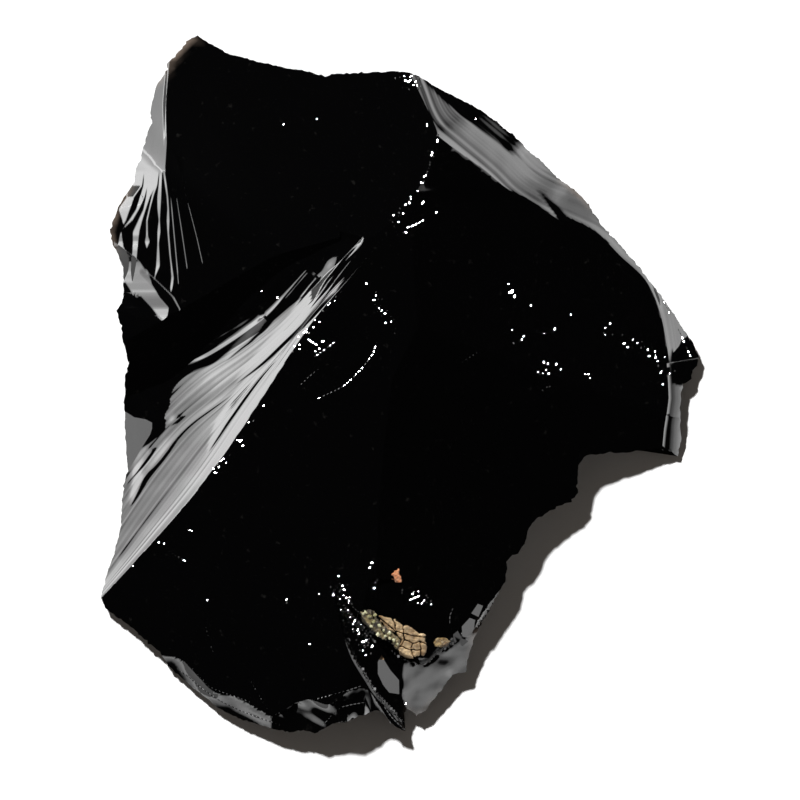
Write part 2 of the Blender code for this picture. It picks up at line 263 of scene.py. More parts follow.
# The share that the crest and each guide stands for: 1 is the fan's main edge.
GUIDE_SHARES = [0, 0.2, 0.5, 1.0, 1.4]
# Before the crest there are no guides, and one share is this many millimetres.
SHARE_REACH = 10
# How many times the last gap's width the outermost share may run on.
RUN_ON = 9
# How the fan tool's rib lines are shared out: (line of the grid, guide share).
RIB_LINES = [(0.0, -0.12), (0.04, 0.0), (0.7, 1.0), (0.92, 1.75), (1.0, 2.4)]
FAN_TOOL_START, FAN_TOOL_LENGTH = 1.0, 76.0
OUTER_REACH = 15.0
crest_line = along(CREST)
fan_guides = [along(list(zip(FAN_STATIONS, guide))) for guide in FAN_GUIDES]
rib_lines = straight(RIB_LINES)


def turned(x, y, start, heading):
    """Distances along a heading in degrees from start, and to the left of it."""
    angle = np.radians(heading)
    east, north = x - start[0], y - start[1]
    ahead = east * np.cos(angle) + north * np.sin(angle)
    left = north * np.cos(angle) - east * np.sin(angle)
    return ahead, left


def placed(ahead, left, start, heading):
    """The place that turned() would give these distances for."""
    angle = np.radians(heading)
    x = start[0] + ahead * np.cos(angle) - left * np.sin(angle)
    y = start[1] + ahead * np.sin(angle) + left * np.cos(angle)
    return x, y


def guide_lines(ahead):
    """How far past the crest the rib lines lie, with the crest itself first."""
    return [0 * ahead] + [guide(ahead) for guide in fan_guides]


def carried(value, marks, new_marks, before):
    """Carries a value from one row of marks to another. Below 0 it becomes what before says."""
    result = np.where(value < 0, before, 0.0)
    last = len(marks) - 2
    for i in range(last + 1):
        part = np.clip((value - marks[i]) / (marks[i + 1] - marks[i]), 0, 1 if i < last else RUN_ON)
        result = np.where(value >= marks[i], new_marks[i] + part * (new_marks[i + 1] - new_marks[i]), result)
    return result


def fan_share(ahead, past):
    """Which rib line a place is on: 0 on the crest, 1 at the fan's main edge."""
    return carried(past, guide_lines(ahead), GUIDE_SHARES, past / SHARE_REACH)


def fan_place(along_share, across_share):
    """The fan tool's grid: stations along the crest, rib lines across."""
    ahead = FAN_TOOL_START + FAN_TOOL_LENGTH * along_share
    share = rib_lines(across_share)
    lines = guide_lines(ahead)
    past = carried(share, GUIDE_SHARES, lines, share * SHARE_REACH)
    beyond = share - GUIDE_SHARES[-1]
    past = np.where(beyond > 0, lines[-1] + beyond * OUTER_REACH, past)
    return placed(ahead, -(crest_line(ahead) + past), FAN_START, FAN_HEADING)


print("guides 45 mm ahead, in mm past the crest", [round(float(guide(45.0)), 1) for guide in fan_guides])

# %% [markdown]
# ## Gaps, streaks and folds
# Between the ribs lie narrow steps. A flatter one mirrors the dark overhead and shows as a gap,
# and a steeper one on the flat outer part shows as a bright streak. Each is a stripe with its own
# line and width. Broad soft folds and fine waves along the ribs keep the sheet between from
# looking flat, and small chips fray the crest.

# %% Gaps, streaks and folds
# The rib waves: how many to one guide share, and how steep they are.
RIB_WAVES = [(wave(3), 9, 0.07), (wave(5), 26, 0.10), (wave(9), 60, 0.09)]
RIB_DRIFT = 0.02
RIB_EASING = 3
# Where the ribs get fainter outward: (share, over how much, by how much).
RIB_FADES = [(0.4, 0.2, 0.4), (0.95, 0.1, 0.5)]
# Flatter steps that show as dark gaps. Each row is (ahead, past, width), from point to point.
GAPS = [
    [(5.0, 0.1, 0.2), (8.5, 0.1, 1.5), (10.6, 0.08, 1.35), (12.9, 0.06, 1.25), (15.4, 0.08, 0.92),
     (17.8, 0.14, 0.78), (21.2, 0.52, 0.6), (26.0, 1.72, 0.44), (30.4, 2.95, 0.3), (34.3, 4.5, 0.0)],
    [(7.0, 1.5, 0.3), (10.0, 1.6, 0.55), (12.9, 1.52, 0.5), (14.3, 1.36, 0.56), (16.0, 1.36, 0.34),
     (17.6, 1.42, 0.16), (18.6, 1.46, 0.0)],
    [(7.0, 2.2, 0.2), (10.0, 2.2, 0.45), (12.9, 2.12, 0.42), (14.3, 2.06, 0.45), (16.0, 1.84, 0.3),
     (17.2, 1.8, 0.0)],
    [(27.3, 1.29, 0.0), (30.6, 1.68, 0.22), (32.8, 1.84, 0.33), (36.3, 2.02, 0.36), (39.3, 2.1, 0.34),
     (42.5, 2.1, 0.18), (44.5, 2.14, 0.0)],
    [(36.3, 4.24, 0.0), (39.7, 5.38, 0.14), (43.0, 6.45, 0.16), (44.9, 6.86, 0.18), (47.1, 7.04, 0.22),
     (49.0, 6.9, 0.32), (51.3, 6.86, 0.36), (52.6, 6.86, 0.42), (54.0, 6.82, 0.6), (55.6, 6.5, 0.44),
     (57.4, 6.2, 0.2), (58.6, 6.1, 0.0)],
    [(43.7, 8.3, 0.0), (44.4, 8.45, 0.28), (45.2, 8.85, 0.22), (45.8, 9.2, 0.0)],
    [(50.0, 8.85, 0.0), (50.7, 8.76, 0.26), (52.3, 8.6, 0.36), (53.7, 8.62, 0.24), (55.1, 8.68, 0.1),
     (56.8, 8.8, 0.0)],
    [(14.8, 3.1, 0.6), (16.3, 3.2, 0.46), (17.5, 3.25, 0.32), (18.5, 3.33, 0.16), (19.8, 3.37, 0.0)],
    [(24.6, 5.15, 0.6), (26.0, 5.35, 0.42), (27.5, 5.85, 0.32), (28.7, 6.15, 0.25), (30.0, 6.65, 0.2),
     (31.4, 7.13, 0.12), (33.2, 7.7, 0.0)],
]
# Steeper steps on the flat outer part, which show as bright streaks.
STREAKS = [
    [(13.2, 5.66, 0.0), (15.9, 5.6, 0.22), (19.5, 5.68, 0.4), (23.5, 6.1, 0.62), (27.6, 7.5, 0.75),
     (31.0, 8.85, 0.7), (34.8, 10.6, 0.55), (37.0, 11.95, 0.4), (39.4, 13.9, 0.0)],
    [(14.2, 5.2, 0.0), (15.4, 5.24, 0.12), (19.9, 5.36, 0.12), (21.0, 5.5, 0.0)],
    [(24.3, 7.7, 0.0), (27.9, 8.9, 0.2), (30.6, 10.2, 0.22), (32.5, 11.0, 0.2), (34.2, 11.8, 0.0)],
    [(14.6, 3.75, 0.0), (16.2, 3.66, 0.2), (18.4, 3.62, 0.24), (19.2, 3.7, 0.0)],
]
# Soft folds of the sheet: (ahead, past, width) again, with a smooth rise and fall.
FOLDS = [
    [(24, 3.2, 0.5), (31.1, 4.9, 1.2), (35.8, 6.9, 1.6), (40.1, 9.1, 1.6), (44.0, 11.2, 0.8)],
    [(30, 3.8, 0.5), (36, 6.0, 1.0), (42, 8.4, 1.4), (48, 9.2, 1.0)],
    [(38, 3.2, 0.8), (46, 4.6, 1.4), (56, 4.4, 1.8), (66, 3.0, 1.4)],
    [(30, 0.5, 0.4), (44, 0.8, 0.8), (58, 0.8, 0.9), (72, 0.6, 0.6)],
]
GAP_FALL, STREAK_FALL, FOLD_HEIGHT = 0.46, 0.44, 0.035
# Beyond a stripe its step is given back over this length, and over so many widths more.
GIVE_BACK, GIVE_BACK_WIDTHS = 0.8, 3
FOLD_INSET, FOLD_FADE, FOLD_END_WIDTH = 2, 3, 0.05
# Chips of the crest: (shape, how many to a millimetre, height).
CREST_CHIPS = [(wave(81), 0.9, 0.08), (wave(83), 3.1, 0.05)]
CHIPS_START, CHIPS_FADE = 18, 8


def stripe(rows):
    """A stripe's line, smooth through its rows, and the places ahead and widths of the rows."""
    ahead, past, width = zip(*rows)
    return along(list(zip(ahead, past))), ahead, width


gap_stripes, streak_stripes, fold_stripes = [[stripe(rows) for rows in group]
                                             for group in (GAPS, STREAKS, FOLDS)]


def over_stripe(line, places, ahead, past):
    """How far past a stripe's line a place is. The line runs on level beyond its ends."""
    return past - line(np.clip(ahead, places[0], places[-1]))


def stepped(stripes, ahead, past):
    """Steps in the wall, one for each stripe. A step is given back slowly beyond the stripe."""
    lift = 0 * past
    for line, places, widths in stripes:
        width = np.interp(ahead, places, widths, left=0, right=0)
        over = over_stripe(line, places, ahead, past)
        back = GIVE_BACK + GIVE_BACK_WIDTHS * width
        lift = lift + np.clip(over, 0, width) - width * ease((over - width) / back)
    return lift


def folded(ahead, past):
    """Soft round folds along the fold stripes."""
    lift = 0 * past
    for line, places, widths in fold_stripes:
        width = np.interp(ahead, places, widths, left=FOLD_END_WIDTH, right=FOLD_END_WIDTH)
        over = over_stripe(line, places, ahead, past) / width
        ends = between(ahead, places[0] + FOLD_INSET, places[-1] - FOLD_INSET, FOLD_FADE)
        lift = lift + width * np.exp(-(over**2)) * ends
    return FOLD_HEIGHT * lift


def ribs(ahead, share, spread):
    """Fine waves along the rib lines, as steep where the fan is narrow as where it is wide."""
    lift = 0 * share
    for shape, count, steepness in RIB_WAVES:
        lift = lift + steepness * spread / count / RIB_EASING * shape(share * count + ahead * RIB_DRIFT)
    strength = 1
    for start, over, less in RIB_FADES:
        strength = strength - less * ease((share - start) / over)
    return lift * strength


def crest_chips(ahead):
    """How far small chips push the crest outward."""
    chips = sum(height * shape(ahead * count) for shape, count, height in CREST_CHIPS)
    return np.maximum(chips, 0) * ease((ahead - CHIPS_START) / CHIPS_FADE)


print("gaps", len(gap_stripes), "streaks", len(streak_stripes), "folds", len(fold_stripes))

# %% [markdown]
# ## The fan's wall
# The wall is steepest at the crest and flattens in sheets outward. What it mirrors depends only on
# its lean, so a row of falls, one for each guide, decides how bright each sheet gets. On the far
# side a plain wall rises again, which the fan's tool has to leave standing.

# %% The fan's wall
# The fan's bright sheet ends here, and a flatter part follows outward: (ahead, past).
SHEET_EDGE = [(-2, 2.1), (2, 2.3), (8.3, 2.6), (11.4, 2.8), (12.9, 3.02), (15.6, 3.07), (18.2, 3.5),
              (20, 4.0), (22, 4.5), (26.0, 5.7), (29.2, 7.1), (32.6, 8.5), (35, 9.3), (37, 10.6),
              (38.2, 11.3), (40.4, 12.1), (43.5, 11.9), (44.3, 11.3), (46, 10.9), (47.0, 9.8),
              (49, 9.96), (50.4, 10.3), (51.6, 10.9), (53, 13), (55, 19), (80, 22)]
FAN_FALLS = [0.655, 0.62, 0.57, 0.52]
# Far ahead each fall is less by this, from a start over a length.
LATE_FLATTENING = [0, 0.06, 0.10, 0.07]
FLATTENING_START, FLATTENING_LENGTH = 36, 12
TIP_STEEPENING, STEEP_END, STEEP_LENGTH = 0.18, 20, 8
OUTER_FALL = 0.13
LATE_OUTER_FALL, LATE_OUTER_START, LATE_OUTER_LENGTH = 0.05, 38, 8
# Behind its tip the fan deepens over a short length, and sooner away from the crest.
TIP_START, TIP_LENGTH, TIP_SLANT, TIP_SLANT_REACH = 8, 5, 1.6, 2.5
# How softly the floors behind the crest meet: at the tip, and how much more ahead of it.
CREST_BLEND, LATE_CREST_BLEND, BLEND_START, BLEND_LENGTH = 0.05, 0.75, 9, 4
VALLEY_EAST = -9
VALLEY_BOX = (-60, -5, VALLEY_EAST, 45)
VALLEY_WALL = [(-18.2, 14.5, 20.7), (-32.0, 14.5, 20.7), (-32.0, 4.5, 11.9)]
sheet_edge = along(SHEET_EDGE)
valley_wall = tilted(*VALLEY_WALL)


def fan_scar(x, y):
    """The ribbed wall west of the crest: steepest at the crest, flattening outward."""
    ahead, left = turned(x, y, FAN_START, FAN_HEADING)
    past = -left - crest_line(ahead)
    lines = guide_lines(ahead)
    late = ease((ahead - FLATTENING_START) / FLATTENING_LENGTH)
    falls = [fall - late * less for fall, less in zip(FAN_FALLS, LATE_FLATTENING)]
    inner = np.minimum(past, sheet_edge(ahead))
    drop = falls[3] * np.clip(inner - lines[3], 0, None)
    for i in range(3):
        width = lines[i + 1] - lines[i]
        part = np.clip((inner - lines[i]) / width, 0, 1)
        drop = drop + width * (falls[i] * part + 0.5 * (falls[i + 1] - falls[i]) * part**2)
    drop = drop * (1 + TIP_STEEPENING * ease((STEEP_END - ahead) / STEEP_LENGTH))
    outer_fall = OUTER_FALL + LATE_OUTER_FALL * ease((ahead - LATE_OUTER_START) / LATE_OUTER_LENGTH)
    drop = drop + outer_fall * (past - inner)
    spread = 2 * (lines[3] - lines[2])
    drop = drop - ribs(ahead, fan_share(ahead, past), spread) - folded(ahead, past)
    drop = drop - GAP_FALL * stepped(gap_stripes, ahead, past)
    drop = drop + STREAK_FALL * stepped(streak_stripes, ahead, past)
    drop = drop * ease((ahead - TIP_START + TIP_SLANT * np.clip(past, 0, TIP_SLANT_REACH)) / TIP_LENGTH)
    blend = CREST_BLEND + LATE_CREST_BLEND * ease((ahead - BLEND_START) / BLEND_LENGTH) * ease(past)
    base = soft_lower(south_west_scar(x, y), summit_scar(x, y), blend)
    chip = crest_chips(ahead)
    return base - np.where(past > chip, drop, past - chip)


inside = placed(45.0, -(crest_line(45.0) + 5.0), FAN_START, FAN_HEADING)
print("5 mm past the crest the fan is", round(float(south_west_scar(*inside) - fan_scar(*inside)), 1), "mm deep")

# %% [markdown]
# ## The band
# Down the north-east edge runs a long narrow band, torn off in one strip. It starts at a crease
# drawn by a curve and falls away outward in fine lanes. Behind a spur the crease jumps outward,
# and the fall is steeper at the far end.

# %% The band
BAND_HEADING = -41.0
# The crease and the outer edge: (ahead, distance to the left of the heading).
BAND_CREASE = [(-6.9, 3.6), (-0.6, 0.7), (3, 0.74), (10.3, 0.95), (14.2, 0.8), (17.6, 1.3), (20.4, 1.9),
               (23.4, 2.3), (27, 2.6), (32.4, 2.2), (38.4, 1.8), (43.2, -0.6), (46.7, -3.3), (50, -6.2)]
BAND_UPPER_EDGE = [(-6.9, 4.9), (1.8, 4.55), (7.9, 5.06), (11.2, 5.7), (12, 6.8), (14, 9)]
# Where the crease jumps outward behind a spur, and how gradually the outer part follows.
BAND_JOG, BAND_SHIFT = 22.9, 2.2
JOG_WIDTHS = (0.5, 14.0)
JOG_TURN, JOG_TURN_WIDTH = 2.4, 1.5
# The fall near the crease and further out than the inner part.
BAND_FALLS = (0.27, 0.41)
BAND_INNER = 4
BAND_LATE_FALL, LATE_FALL_START = 0.15, 18
BAND_END_FALL, END_FALL_START = 0.29, 41
FALL_FADE = 3
BAND_END, BAND_END_FADE = 49.0, 0.7
BAND_NEAR_RISE, BAND_OUTER_RISE = 0.5, 0.25
BAND_TIP = [(1.7, 45.8, 26.1), (5.6, 38.3, 28.7), (6.6, 38.3, 28.15)]
BAND_TIP_BLEND = 0.5
# The lanes: (shape, how many to a lane width, drift along them, height).
LANES = [(wave(63), 9, 0.02, 0.02), (wave(65), 30, 0.03, 0.008)]
LANE_WIDTH, MOST_LANES = 5, 3
BAND_TOOL_START, BAND_TOOL_LENGTH = -9.0, 62.0
BAND_TOOL_MARGIN, BAND_TOOL_WIDTH = 0.8, 15.0
band_crease, band_upper_edge = along(BAND_CREASE), along(BAND_UPPER_EDGE)
band_tip = tilted(*BAND_TIP)


def band_place(along_share, across_share):
    """The band tool's grid, laid along the crease."""
    ahead = BAND_TOOL_START + BAND_TOOL_LENGTH * along_share
    left = band_crease(ahead) - BAND_TOOL_MARGIN + BAND_TOOL_WIDTH * across_share
    return placed(ahead, left, SHOULDER[:2], BAND_HEADING)


def band_scar(x, y):
    """The long narrow band down the north-east edge, with lanes along it."""
    ahead, left = turned(x, y, SHOULDER[:2], BAND_HEADING)
    jog_width = JOG_WIDTHS[0] + JOG_WIDTHS[1] * ease((left - JOG_TURN) / JOG_TURN_WIDTH)
    past = left - band_crease(ahead) - BAND_SHIFT * ease((ahead - BAND_JOG) / jog_width + 0.5)
    near, far = BAND_FALLS
    near = near + BAND_LATE_FALL * ease((ahead - LATE_FALL_START) / FALL_FADE)
    end = ease((ahead - END_FALL_START) / FALL_FADE)
    near, far = near + (BAND_END_FALL - near) * end, far + (BAND_END_FALL - far) * end
    part = np.clip(past / BAND_INNER, 0, 1)
    steeper = BAND_INNER / 2 * part**2 + np.clip(past - BAND_INNER, 0, None)
    fall = past * near + (far - near) * steeper
    fall = fall * ease((BAND_END - ahead) / BAND_END_FADE)
    floor = east_plane(x, y) - np.where(past > 0, fall, past * BAND_NEAR_RISE)
    floor = soft_lower(floor, band_tip(x, y), BAND_TIP_BLEND)
    floor = floor + BAND_OUTER_RISE * np.clip(left - band_upper_edge(ahead), 0, None)
    lane = np.clip(past / LANE_WIDTH, 0, MOST_LANES)
    lanes = sum(height * shape(lane * count + ahead * drift) for shape, count, drift, height in LANES)
    return floor + lanes * (past > 0)


print("the band is", round(float(band_upper_edge(0.0) - band_crease(0.0)), 1), "mm wide at its start")

# %% [markdown]
# ## The west strip
# The steep strip down the north-west edge mirrors a bright light and frays southwards into
# streaks. The floor falls west only inside a streak, so the glass between two of them stays level
# and dark. Further south the glass rises again west of each streak.

# %% The west strip
WEST_STRIP_FALL = 0.47
SOUTHERN_EASING, EASING_NORTH, EASING_LENGTH = 0.10, 30, 4
# The steep streaks of the west strip. Each row is (place north, west side, width), south to north.
WEST_STREAKS = [
    [(24.0, -41.5, 0.0), (24.7, -41.7, 0.6), (26.4, -42.3, 1.8), (28.2, -41.0, 1.1), (29.9, -41.0, 2.3),
     (32.0, -41.5, 3.1), (36.5, -41.5, 3.6), (56.0, -41.5, 4.5)],
    [(23.2, -41.9, 0.0), (23.7, -41.5, 0.3), (24.7, -40.7, 0.6), (26.4, -39.6, 0.5), (28.2, -39.0, 0.7),
     (29.9, -38.5, 0.6), (32.0, -38.4, 0.5), (36.5, -37.9, 0.6), (56.0, -37.0, 0.6)],
    [(15.4, -40.2, 0.0), (17.2, -40.4, 0.6), (19.5, -40.2, 0.75), (21.3, -40.1, 0.8),
     (23.0, -40.1, 1.0), (24.7, -39.3, 0.65), (26.4, -38.5, 0.4), (28.2, -38.1, 0.6),
     (29.9, -37.9, 1.3), (32.0, -37.9, 1.5), (36.5, -37.3, 1.0), (56.0, -36.4, 1.0)],
    [(20.4, -38.0, 0.0), (21.5, -38.3, 0.8), (22.4, -38.1, 0.3), (24.7, -38.1, 0.27),
     (26.4, -37.7, 0.25), (28.5, -37.2, 0.3), (29.9, -36.6, 0.2), (32.0, -36.4, 0.3),
     (36.5, -36.3, 0.4), (56.0, -35.4, 0.4)],
    [(15.8, -36.9, 0.0), (17.8, -36.6, 0.6), (19.5, -36.5, 0.45), (21.3, -36.4, 0.25),
     (23.0, -36.4, 0.5), (24.7, -36.2, 0.2), (26.4, -36.4, 0.5), (28.2, -36.4, 0.6),
     (29.9, -36.2, 0.45), (32.0, -36.1, 0.5), (36.5, -35.9, 0.5), (56.0, -35.0, 0.5)],
    [(13.8, -34.3, 0.0), (14.4, -34.5, 0.4), (16.1, -34.3, 0.4), (17.8, -34.4, 0.25),
     (19.5, -34.6, 0.25), (23.0, -34.9, 0.28), (24.7, -35.0, 0.45), (26.4, -34.9, 0.28),
     (28.2, -35.0, 0.25), (32.0, -35.6, 0.4), (36.5, -35.4, 0.5), (42.0, -35.6, 0.5),
     (56.0, -34.4, 0.5)],
    [(14.6, -33.2, 0.0), (15.4, -33.3, 0.18), (23.0, -34.0, 0.18), (26.4, -34.3, 0.18),
     (29.5, -34.5, 0.0)],
    [(16.6, -31.8, 0.0), (17.6, -32.0, 0.15), (23.7, -32.9, 0.16), (27.7, -33.5, 0.12),
     (29.0, -33.6, 0.0)],
    [(17.4, -29.3, 0.0), (18.4, -29.7, 0.18), (22.0, -30.5, 0.18), (26.3, -31.6, 0.18),
     (29.9, -32.5, 0.14), (33.3, -33.2, 0.12), (36.6, -34.2, 0.0)],
    [(15.6, -41.5, 0.0), (17.2, -41.5, 0.7), (18.4, -41.7, 1.0), (19.8, -42.4, 1.4), (20.8, -42.4, 0.9),
     (22.8, -42.0, 0.2), (23.6, -41.0, 0.0)],
    [(9.6, -35.4, 0.0), (10.4, -36.4, 1.6), (11.6, -37.3, 2.7), (13.2, -38.8, 2.8), (13.9, -40.3, 3.9),
     (15.3, -41.2, 4.0), (15.8, -43.0, 5.7), (17.2, -43.0, 4.9), (18.5, -43.0, 4.0), (19.4, -43.0, 2.9),
     (20.6, -43.0, 1.2), (21.6, -43.0, 0.0)],
    [(9.6, -32.6, 0.0), (10.9, -32.9, 0.3), (13.2, -34.2, 0.4), (14.6, -35.6, 0.35), (16.8, -37.9, 0.3),
     (17.8, -38.3, 0.0)],
]
STREAK_CLEARANCE = 0.02
# The streaks that start south of here lie in a patch whose glass rises again west of them.
PATCH_NORTH, PATCH_BACK, PATCH_BACK_WIDTHS = 10.0, 0.8, 2
WEST_TOOL_EDGE, WEST_TOOL_WIDTH = -45.5, 18.0
# The lines of the tool's grid: (share, place north).
WEST_TOOL_LINES = [(0, 9.0), (0.8, 33.0), (1, 56.0)]
west_streaks = [list(zip(*rows)) for rows in WEST_STREAKS]
west_tool_lines = straight(WEST_TOOL_LINES)


def west_strip(x, y):
    """The steep strip down the north-west edge, frayed southwards into streaks."""
    fall = 0 * x
    for north, west, widths in west_streaks:
        width = np.interp(y, north, widths)
        into = np.interp(y, north, west) + width - x
        fall = fall + np.clip(into, 0, width)
        if north[0] < PATCH_NORTH:
            fall = fall - width * ease((into - width) / (PATCH_BACK + PATCH_BACK_WIDTHS * width))
    steepness = WEST_STRIP_FALL - SOUTHERN_EASING * ease((EASING_NORTH - y) / EASING_LENGTH)
    return north_west_scar(x, y) - steepness * fall + STREAK_CLEARANCE


def west_strip_place(across_share, along_share):
    """The strip tool's grid: close lines in the south, where it frays, and wider ones north of it."""
    return WEST_TOOL_EDGE + WEST_TOOL_WIDTH * across_share, west_tool_lines(along_share)


print("streaks of the west strip", len(west_streaks))

# %% [markdown]
# ## The east strips
# Two narrow strips broke off along the east edge. Each starts at a rim and falls away outward from
# it, so one short function serves them both, and the bevels after them too.

# %% The east strips
# The rims: (y, x).
EAST_STRIP_RIM = [(-10.5, 48.0), (-7.0, 44.0), (-5.0, 39.9), (-2.0, 40.3), (0.5, 40.2), (3.4, 40.0),
                  (4.0, 44.0), (5.0, 48.0), (12.0, 50.0)]
NOTCH_STRIP_RIM = [(-10.5, 39.3), (-9.0, 39.4), (-6.7, 39.6), (-4.0, 40.0), (-1.5, 40.3), (2.0, 40.3),
                   (4.0, 40.8)]
EAST_STRIP_FALL, NOTCH_STRIP_FALL = 0.16, 0.18
STRIP_STEEPENING = 0.09
# The east strip is this wide, and opens out in the south.
EAST_STRIP_WIDTH, STRIP_OPENING = 1.1, 10
OPENING_NORTH, OPENING_LENGTH = 0.4, 1.2
RISE_BACK = 0.9
STRIP_TOOL_MARGIN, STRIP_TOOL_WIDTH = 1.0, 13.0
east_rim, notch_rim = straight(EAST_STRIP_RIM), straight(NOTCH_STRIP_RIM)


def falling(base, past, fall, flattening=0.0):
    """Falls away from the base floor past a ridge, and stands clear of it on the near side."""
    return base - np.where(past > 0, fall * past - 0.5 * flattening * past**2, past * RISE_BACK)


def east_strip(x, y):
    """The narrow strip down the east edge, north of the notch."""
    past = x - east_rim(y)
    past = np.minimum(past, EAST_STRIP_WIDTH + STRIP_OPENING * ease((OPENING_NORTH - y) / OPENING_LENGTH))
    return falling(east_scar(x, y), past, EAST_STRIP_FALL, -STRIP_STEEPENING)


def notch_strip(x, y):
    """The strip beside the notch, south of the east strip."""
    return falling(south_east_scar(x, y), x - notch_rim(y), NOTCH_STRIP_FALL, -STRIP_STEEPENING)


def strip_place(rim, south, north):
    """A strip tool's grid, laid along its rim so that the rim is an edge of the mesh."""
    def place(across_share, along_share):
        y = south + (north - south) * along_share
        return rim(y) - STRIP_TOOL_MARGIN + STRIP_TOOL_WIDTH * across_share, y

    return place


print("east rim at y = 0", float(east_rim(0.0)), "notch rim", float(notch_rim(0.0)))

# %% [markdown]
# ## The south bevels
# Two steep bevels run round the south end. They broke unevenly, in folds, so lumps of two sizes
# are added to their floors.

# %% The south bevels
# The rims: (x, y).
SOUTH_WEST_BEVEL_RIM = [(-37.5, -40.4), (-32.0, -41.8), (-28.9, -45.2), (-24.5, -46.9), (-21.1, -48.7),
                        (-17.9, -50.4), (-14.0, -53.0)]
SOUTH_BEVEL_RIM = [(-20.8, -50.5), (-17.0, -48.5), (-14.9, -47.2), (-10.6, -47.8), (-5.9, -45.2),
                   (-4.7, -45.6), (-3.4, -47.6), (-2.0, -49.8), (-0.6, -51.8), (1.5, -55.0)]
SOUTH_WEST_BEVEL_FALL = 0.50
# How steeply the south bevel falls, from west to east: (x, fall).
SOUTH_BEVEL_FALLS = [(-10.0, 0.52), (-8.0, 0.28), (-5.5, 0.28), (-4.3, 0.42)]
BEVEL_FLATTENING = 0.10
FOLD_DEPTH, FOLD_SIZE, FOLD_SLANT = 0.16, (3.1, 1.5), 0.5
GRIT_DEPTH, GRIT_SIZE = 0.03, 0.9
# Shifts the south bevel's lumps, so that the two bevels aren't alike.
BEVEL_SHIFT = 40
south_west_bevel_rim, south_bevel_rim = along(SOUTH_WEST_BEVEL_RIM), along(SOUTH_BEVEL_RIM)
south_bevel_falls = straight(SOUTH_BEVEL_FALLS)
chatter = lumps(71)


def folds_down(x, y):
    """Uneven folds of a bevel, with a finer roughness over them."""
    folds = FOLD_DEPTH * chatter(x / FOLD_SIZE[0], (y + FOLD_SLANT * x) / FOLD_SIZE[1])
    return folds + GRIT_DEPTH * chatter(x / GRIT_SIZE, y / GRIT_SIZE)


def south_west_bevel(x, y):
    past = south_west_bevel_rim(x) - y
    floor = falling(south_west_scar(x, y), past, SOUTH_WEST_BEVEL_FALL, BEVEL_FLATTENING)
    return floor + folds_down(x, y)


def south_bevel(x, y):
    past = south_bevel_rim(x) - y
    floor = falling(south_west_scar(x, y), past, south_bevel_falls(x), BEVEL_FLATTENING)
    return floor + folds_down(x + BEVEL_SHIFT, y)


print("the south bevel starts at y =", round(float(south_bevel_rim(-10.0)), 1), "where x = -10")

# %% [markdown]
# ## The step and the plate
# At the south end a steep step carries the rusty crust, and below it the glass thins to a plate.
# West of the plate a narrow blade stands up, with a steep wall.

# %% The step and the plate
STEP_RIM = [(-9.8, -30.0), (-7.3, -32.2), (-4.3, -33.7), (0.0, -35.5), (3.7, -37.6), (7.4, -38.1),
            (11.0, -36.0), (14.0, -32.0)]
# How far the ledge under the crust reaches from the rim: (x, reach).
LEDGE_REACH = [(-9.0, 0.3), (-5.8, 1.3), (-3.7, 3.2), (-1.3, 3.8), (0.0, 4.4), (1.7, 4.3), (3.8, 3.4),
               (5.9, 1.2), (7.4, 0.3), (12.0, 0.1)]
LEDGE_FALL = 0.42
STEP_FALL = 4.0
STEP_MARGIN = 0.5
PLATE = [(1.4, -41.9, 6.4), (10.4, -38.2, 5.6), (3.7, -49.0, 3.7)]
PLATE_BLEND = 0.15
# The blade's foot against the plate: (y, x).
BLADE_EDGE = [(-54.0, 2.2), (-51.9, 0.8), (-49.4, -0.8), (-47.7, -2.4), (-46.1, -3.7), (-44.6, -4.6),
              (-40.4, -7.0), (-36.0, -8.6), (-30.0, -10.0)]
BLADE_FALL = 3.0
# The plate's west side, where the floor starts to rise towards the blade: (y, x).
PLATE_SIDE = [(-52.0, 1.2), (-49.0, 1.0), (-47.5, 0.4), (-44.0, 0.2), (-41.0, 0.1), (-38.0, -1.5),
              (-34.0, -3.5)]
PLATE_SIDE_RISE = 0.3
# Waves of the plate: (height, size in x, size in y, shift in y).
PLATE_WAVES = [(0.05, 2.3, 1.7, 20), (0.006, 0.7, 0.7, 40)]
step_rim, ledge_reach = along(STEP_RIM), along(LEDGE_REACH)
blade_edge, plate_side = along(BLADE_EDGE), along(PLATE_SIDE)
plate_level = tilted(*PLATE)


def plate_scar(x, y):
    """A steep step down from the two southern scars, then the nearly level plate."""
    rim = step_rim(x)
    past = rim - y
    edge = np.minimum(south_west_scar(x, rim), south_east_scar(x, rim))
    step = edge - LEDGE_FALL * past - (STEP_FALL - LEDGE_FALL) * np.clip(past - ledge_reach(x), 0, None)
    level = plate_level(x, y)
    over = step - level
    floor = level + 0.5 * (over + np.sqrt(over**2 + PLATE_BLEND))
    floor = floor + PLATE_SIDE_RISE * np.clip(plate_side(y) - x, 0, None)
    waves = sum(height * chatter(x / size_x, y / size_y + shift)
                for height, size_x, size_y, shift in PLATE_WAVES)
    floor = floor + BLADE_FALL * np.clip(blade_edge(y) - x, 0, None) + waves
    above = np.minimum(south_west_scar(x, y), south_east_scar(x, y))
    return np.where(past > -STEP_MARGIN, floor, above - RISE_BACK * past)


print("the plate is", round(float(plate_scar(5.0, -43.0)), 1), "mm high at x = 5, y = -43")

# %% [markdown]
# ## The scar tools
# A tool is a grid plane whose points take the floor's heights. It is then extruded straight up
# into a closed block, so subtracting it leaves exactly the floor. Smooth scars need few faces, and
# ribbed ones need many, so each tool has its own grid.

# %% The scar tools
TOOL_TOP = 55.0


def rectangle(west, south, east, north):
    """Places of a grid that fills a rectangle."""
    def place(across_share, along_share):
        return west + (east - west) * across_share, south + (north - south) * along_share

    return place


